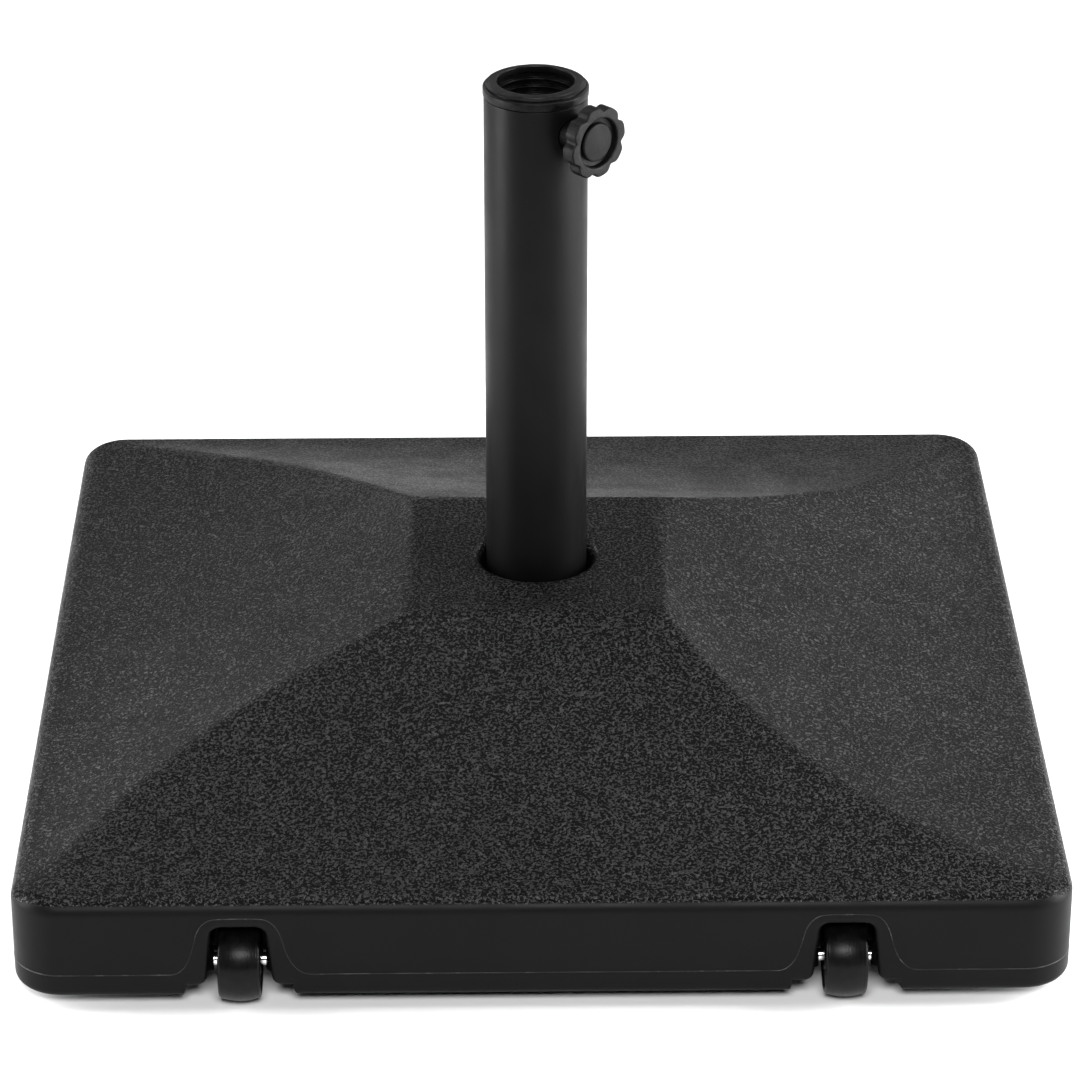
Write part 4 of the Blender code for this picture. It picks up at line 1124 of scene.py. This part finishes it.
place(spring_washer(z1 - 2.8 * MM, z1), "root", "zinc", "anchor_lock_washer")
z1 -= 3.1 * MM
HN = 96
nut_z = plate_top + 0.3 * MM
rings = [circ(7.9 * MM, z1 - 7.5 * MM, AXIS, HN), hex_ring(19 * MM, z1 - 7.5 * MM, AXIS, HN, 0.97),
         hex_ring(19 * MM, z1 - 6.6 * MM, AXIS, HN), hex_ring(19 * MM, z1 - 0.5 * MM, AXIS, HN),
         circ(9.0 * MM, z1, AXIS, HN), circ(5.9 * MM, z1, AXIS, HN)]
rings += [circ(5.9 * MM, z1 + 4 * MM, AXIS, HN)]
rings += threaded("t", 5.9 * MM, 1.75 * MM, z1 + 5 * MM, nut_z + 11.6 * MM, AXIS, "zinc", HN)
rings += [circ(4.6 * MM, nut_z + 12 * MM, AXIS, HN)]
verts, faces = skin(rings, False)
bolt = mesh_object("anchor_screw", verts, faces, "zinc", 35.0)
place(bolt, "root", "zinc", "anchor_bolt")
rings = [circ(6.3 * MM, nut_z + 0.6 * MM, AXIS, HN), circ(7.0 * MM, nut_z, AXIS, HN), circ(9.2 * MM, nut_z, AXIS, HN),
         hex_ring(19 * MM, nut_z + 0.8 * MM, AXIS, HN), hex_ring(19 * MM, nut_z + 9.2 * MM, AXIS, HN),
         circ(9.2 * MM, nut_z + 10 * MM, AXIS, HN), circ(7.0 * MM, nut_z + 10 * MM, AXIS, HN),
         circ(6.3 * MM, nut_z + 9.4 * MM, AXIS, HN)]
verts, faces = skin(rings, True)
hexnut = mesh_object("anchor_hex_nut", verts, faces, "zinc", 35.0)
place(hexnut, "root", "zinc", "anchor_nut")

# ------------------------------------------------------------------ rubber feet
for name, x, y in (("front_left", -FOOT_AT, -FOOT_AT), ("front_right", FOOT_AT, -FOOT_AT),
                   ("rear_left", -FOOT_AT, FOOT_AT), ("rear_right", FOOT_AT, FOOT_AT)):
    f = Matrix.Translation((x, BASE_Y + y, 0.0))
    prof = [(0.3, 0.5, 0), (4.5, 0.5, 0.2), (5.0, 0.0, 0.2), (8.0, 0.0, 0.2), (8.5, 0.7, 0.2), (9.5, 0.7, 0.2),
            (10.0, 0.0, 0.2), (14.6, 0.0, 0.8), (16.0, 1.6, 0.8), (15.6, 4.0, 0.4), (14.7, 7.7, 0.6), (4.0, 7.7, 0),
            (4.0, 13.0, 0.4), (3.2, 14.2, 0.4), (0.3, 14.2, 0)]
    pts = rounded([(a * MM, b * MM, c * MM) for a, b, c in prof], 0.0, 4)
    foot = turned("rubber_foot_" + name, pts, f, 84, "foot")
    place(foot, "root", "foot", "foot_" + name)

# ------------------------------------------------------------------ carried-over CAD nodes
for name, mat in (("concrete_core", "concrete"),):
    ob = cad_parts[name]
    ob.data.materials.clear()
    ob.data.materials.append(MAT[mat])

# ------------------------------------------------------------------ floor, world and lights
floor_mat = Nodes("floor")
tone = floor_mat.ramp(floor_mat.noise(3.0, 3.0, 0.5), 0.3, 0.7)
floor_mat.set(colour=floor_mat.mix(tone, (0.90, 0.90, 0.90), (0.92, 0.92, 0.92)), rough=0.9, spec=0.1)
bm = bmesh.new()
bmesh.ops.create_grid(bm, x_segments=2, y_segments=2, size=6.0)
mesh = bpy.data.meshes.new("floor")
bm.to_mesh(mesh)
bm.free()
floor = bpy.data.objects.new("floor", mesh)
mesh.materials.append(floor_mat.mat)
floor.location.z = -0.00005
bpy.context.scene.collection.objects.link(floor)

world = bpy.data.worlds.new("world")
bpy.context.scene.world = world
world.use_nodes = True
tree = world.node_tree
bg = tree.nodes["Background"]
sky = tree.nodes.new("ShaderNodeTexCoord").outputs["Generated"]
split = tree.nodes.new("ShaderNodeSeparateXYZ")
tree.links.new(sky, split.inputs[0])


def fade(socket, lo, hi, top=1.0):
    n = tree.nodes.new("ShaderNodeMapRange")
    n.interpolation_type = 'SMOOTHSTEP'
    tree.links.new(socket, n.inputs["Value"])
    for key, v in (("From Min", lo), ("From Max", hi), ("To Max", top)):
        n.inputs[key].default_value = v
    return n.outputs["Result"]


def combine(op, a, b):
    n = tree.nodes.new("ShaderNodeMath")
    n.operation = op
    tree.links.new(a, n.inputs[0])
    tree.links.new(b, n.inputs[1])
    return n.outputs[0]


# a pale wall behind, dark in front, and fill from below the level of the floor
wall = combine('MULTIPLY', fade(split.outputs[1], 0.1, 0.6), fade(split.outputs[2], 0.08, 0.36, 0.58))
below = fade(split.outputs[2], -0.06, -0.2, 0.75)
tree.links.new(combine('ADD', wall, below), bg.inputs["Color"])
bg.inputs["Strength"].default_value = 1.0


def softbox(name, loc, target, size_x, size_y, power):
    data = bpy.data.lights.new(name, 'AREA')
    data.shape = 'RECTANGLE'
    data.size, data.size_y = size_x, size_y
    data.energy = power
    ob = bpy.data.objects.new(name, data)
    ob.location = loc
    ob.rotation_euler = (Vector(target) - Vector(loc)).to_track_quat('-Z', 'Y').to_euler()
    bpy.context.scene.collection.objects.link(ob)


softbox("top_box", (0.0, 0.3, 2.6), (0.0, 0.2, 0.0), 2.6, 1.0, 36.0)
softbox("front_box", (0.0, -2.45, 2.1), (0.0, -0.2, 0.0), 1.2, 0.7, 86.0)
softbox("left_box", (-1.3, -0.2, 0.35), (0.0, 0.0, 0.15), 0.5, 1.4, 35.0)
softbox("right_box", (1.3, -0.2, 0.35), (0.0, 0.0, 0.15), 0.5, 1.4, 53.0)
softbox("back_left_box", (-1.25, 1.9, 1.15), (0.0, 0.0, 0.1), 1.0, 1.0, 11.5)
softbox("back_right_box", (1.25, 1.9, 1.15), (0.0, 0.0, 0.1), 1.0, 1.0, 10.5)

scene = bpy.context.scene
scene.view_settings.view_transform = 'Standard'
scene.view_settings.look = 'None'
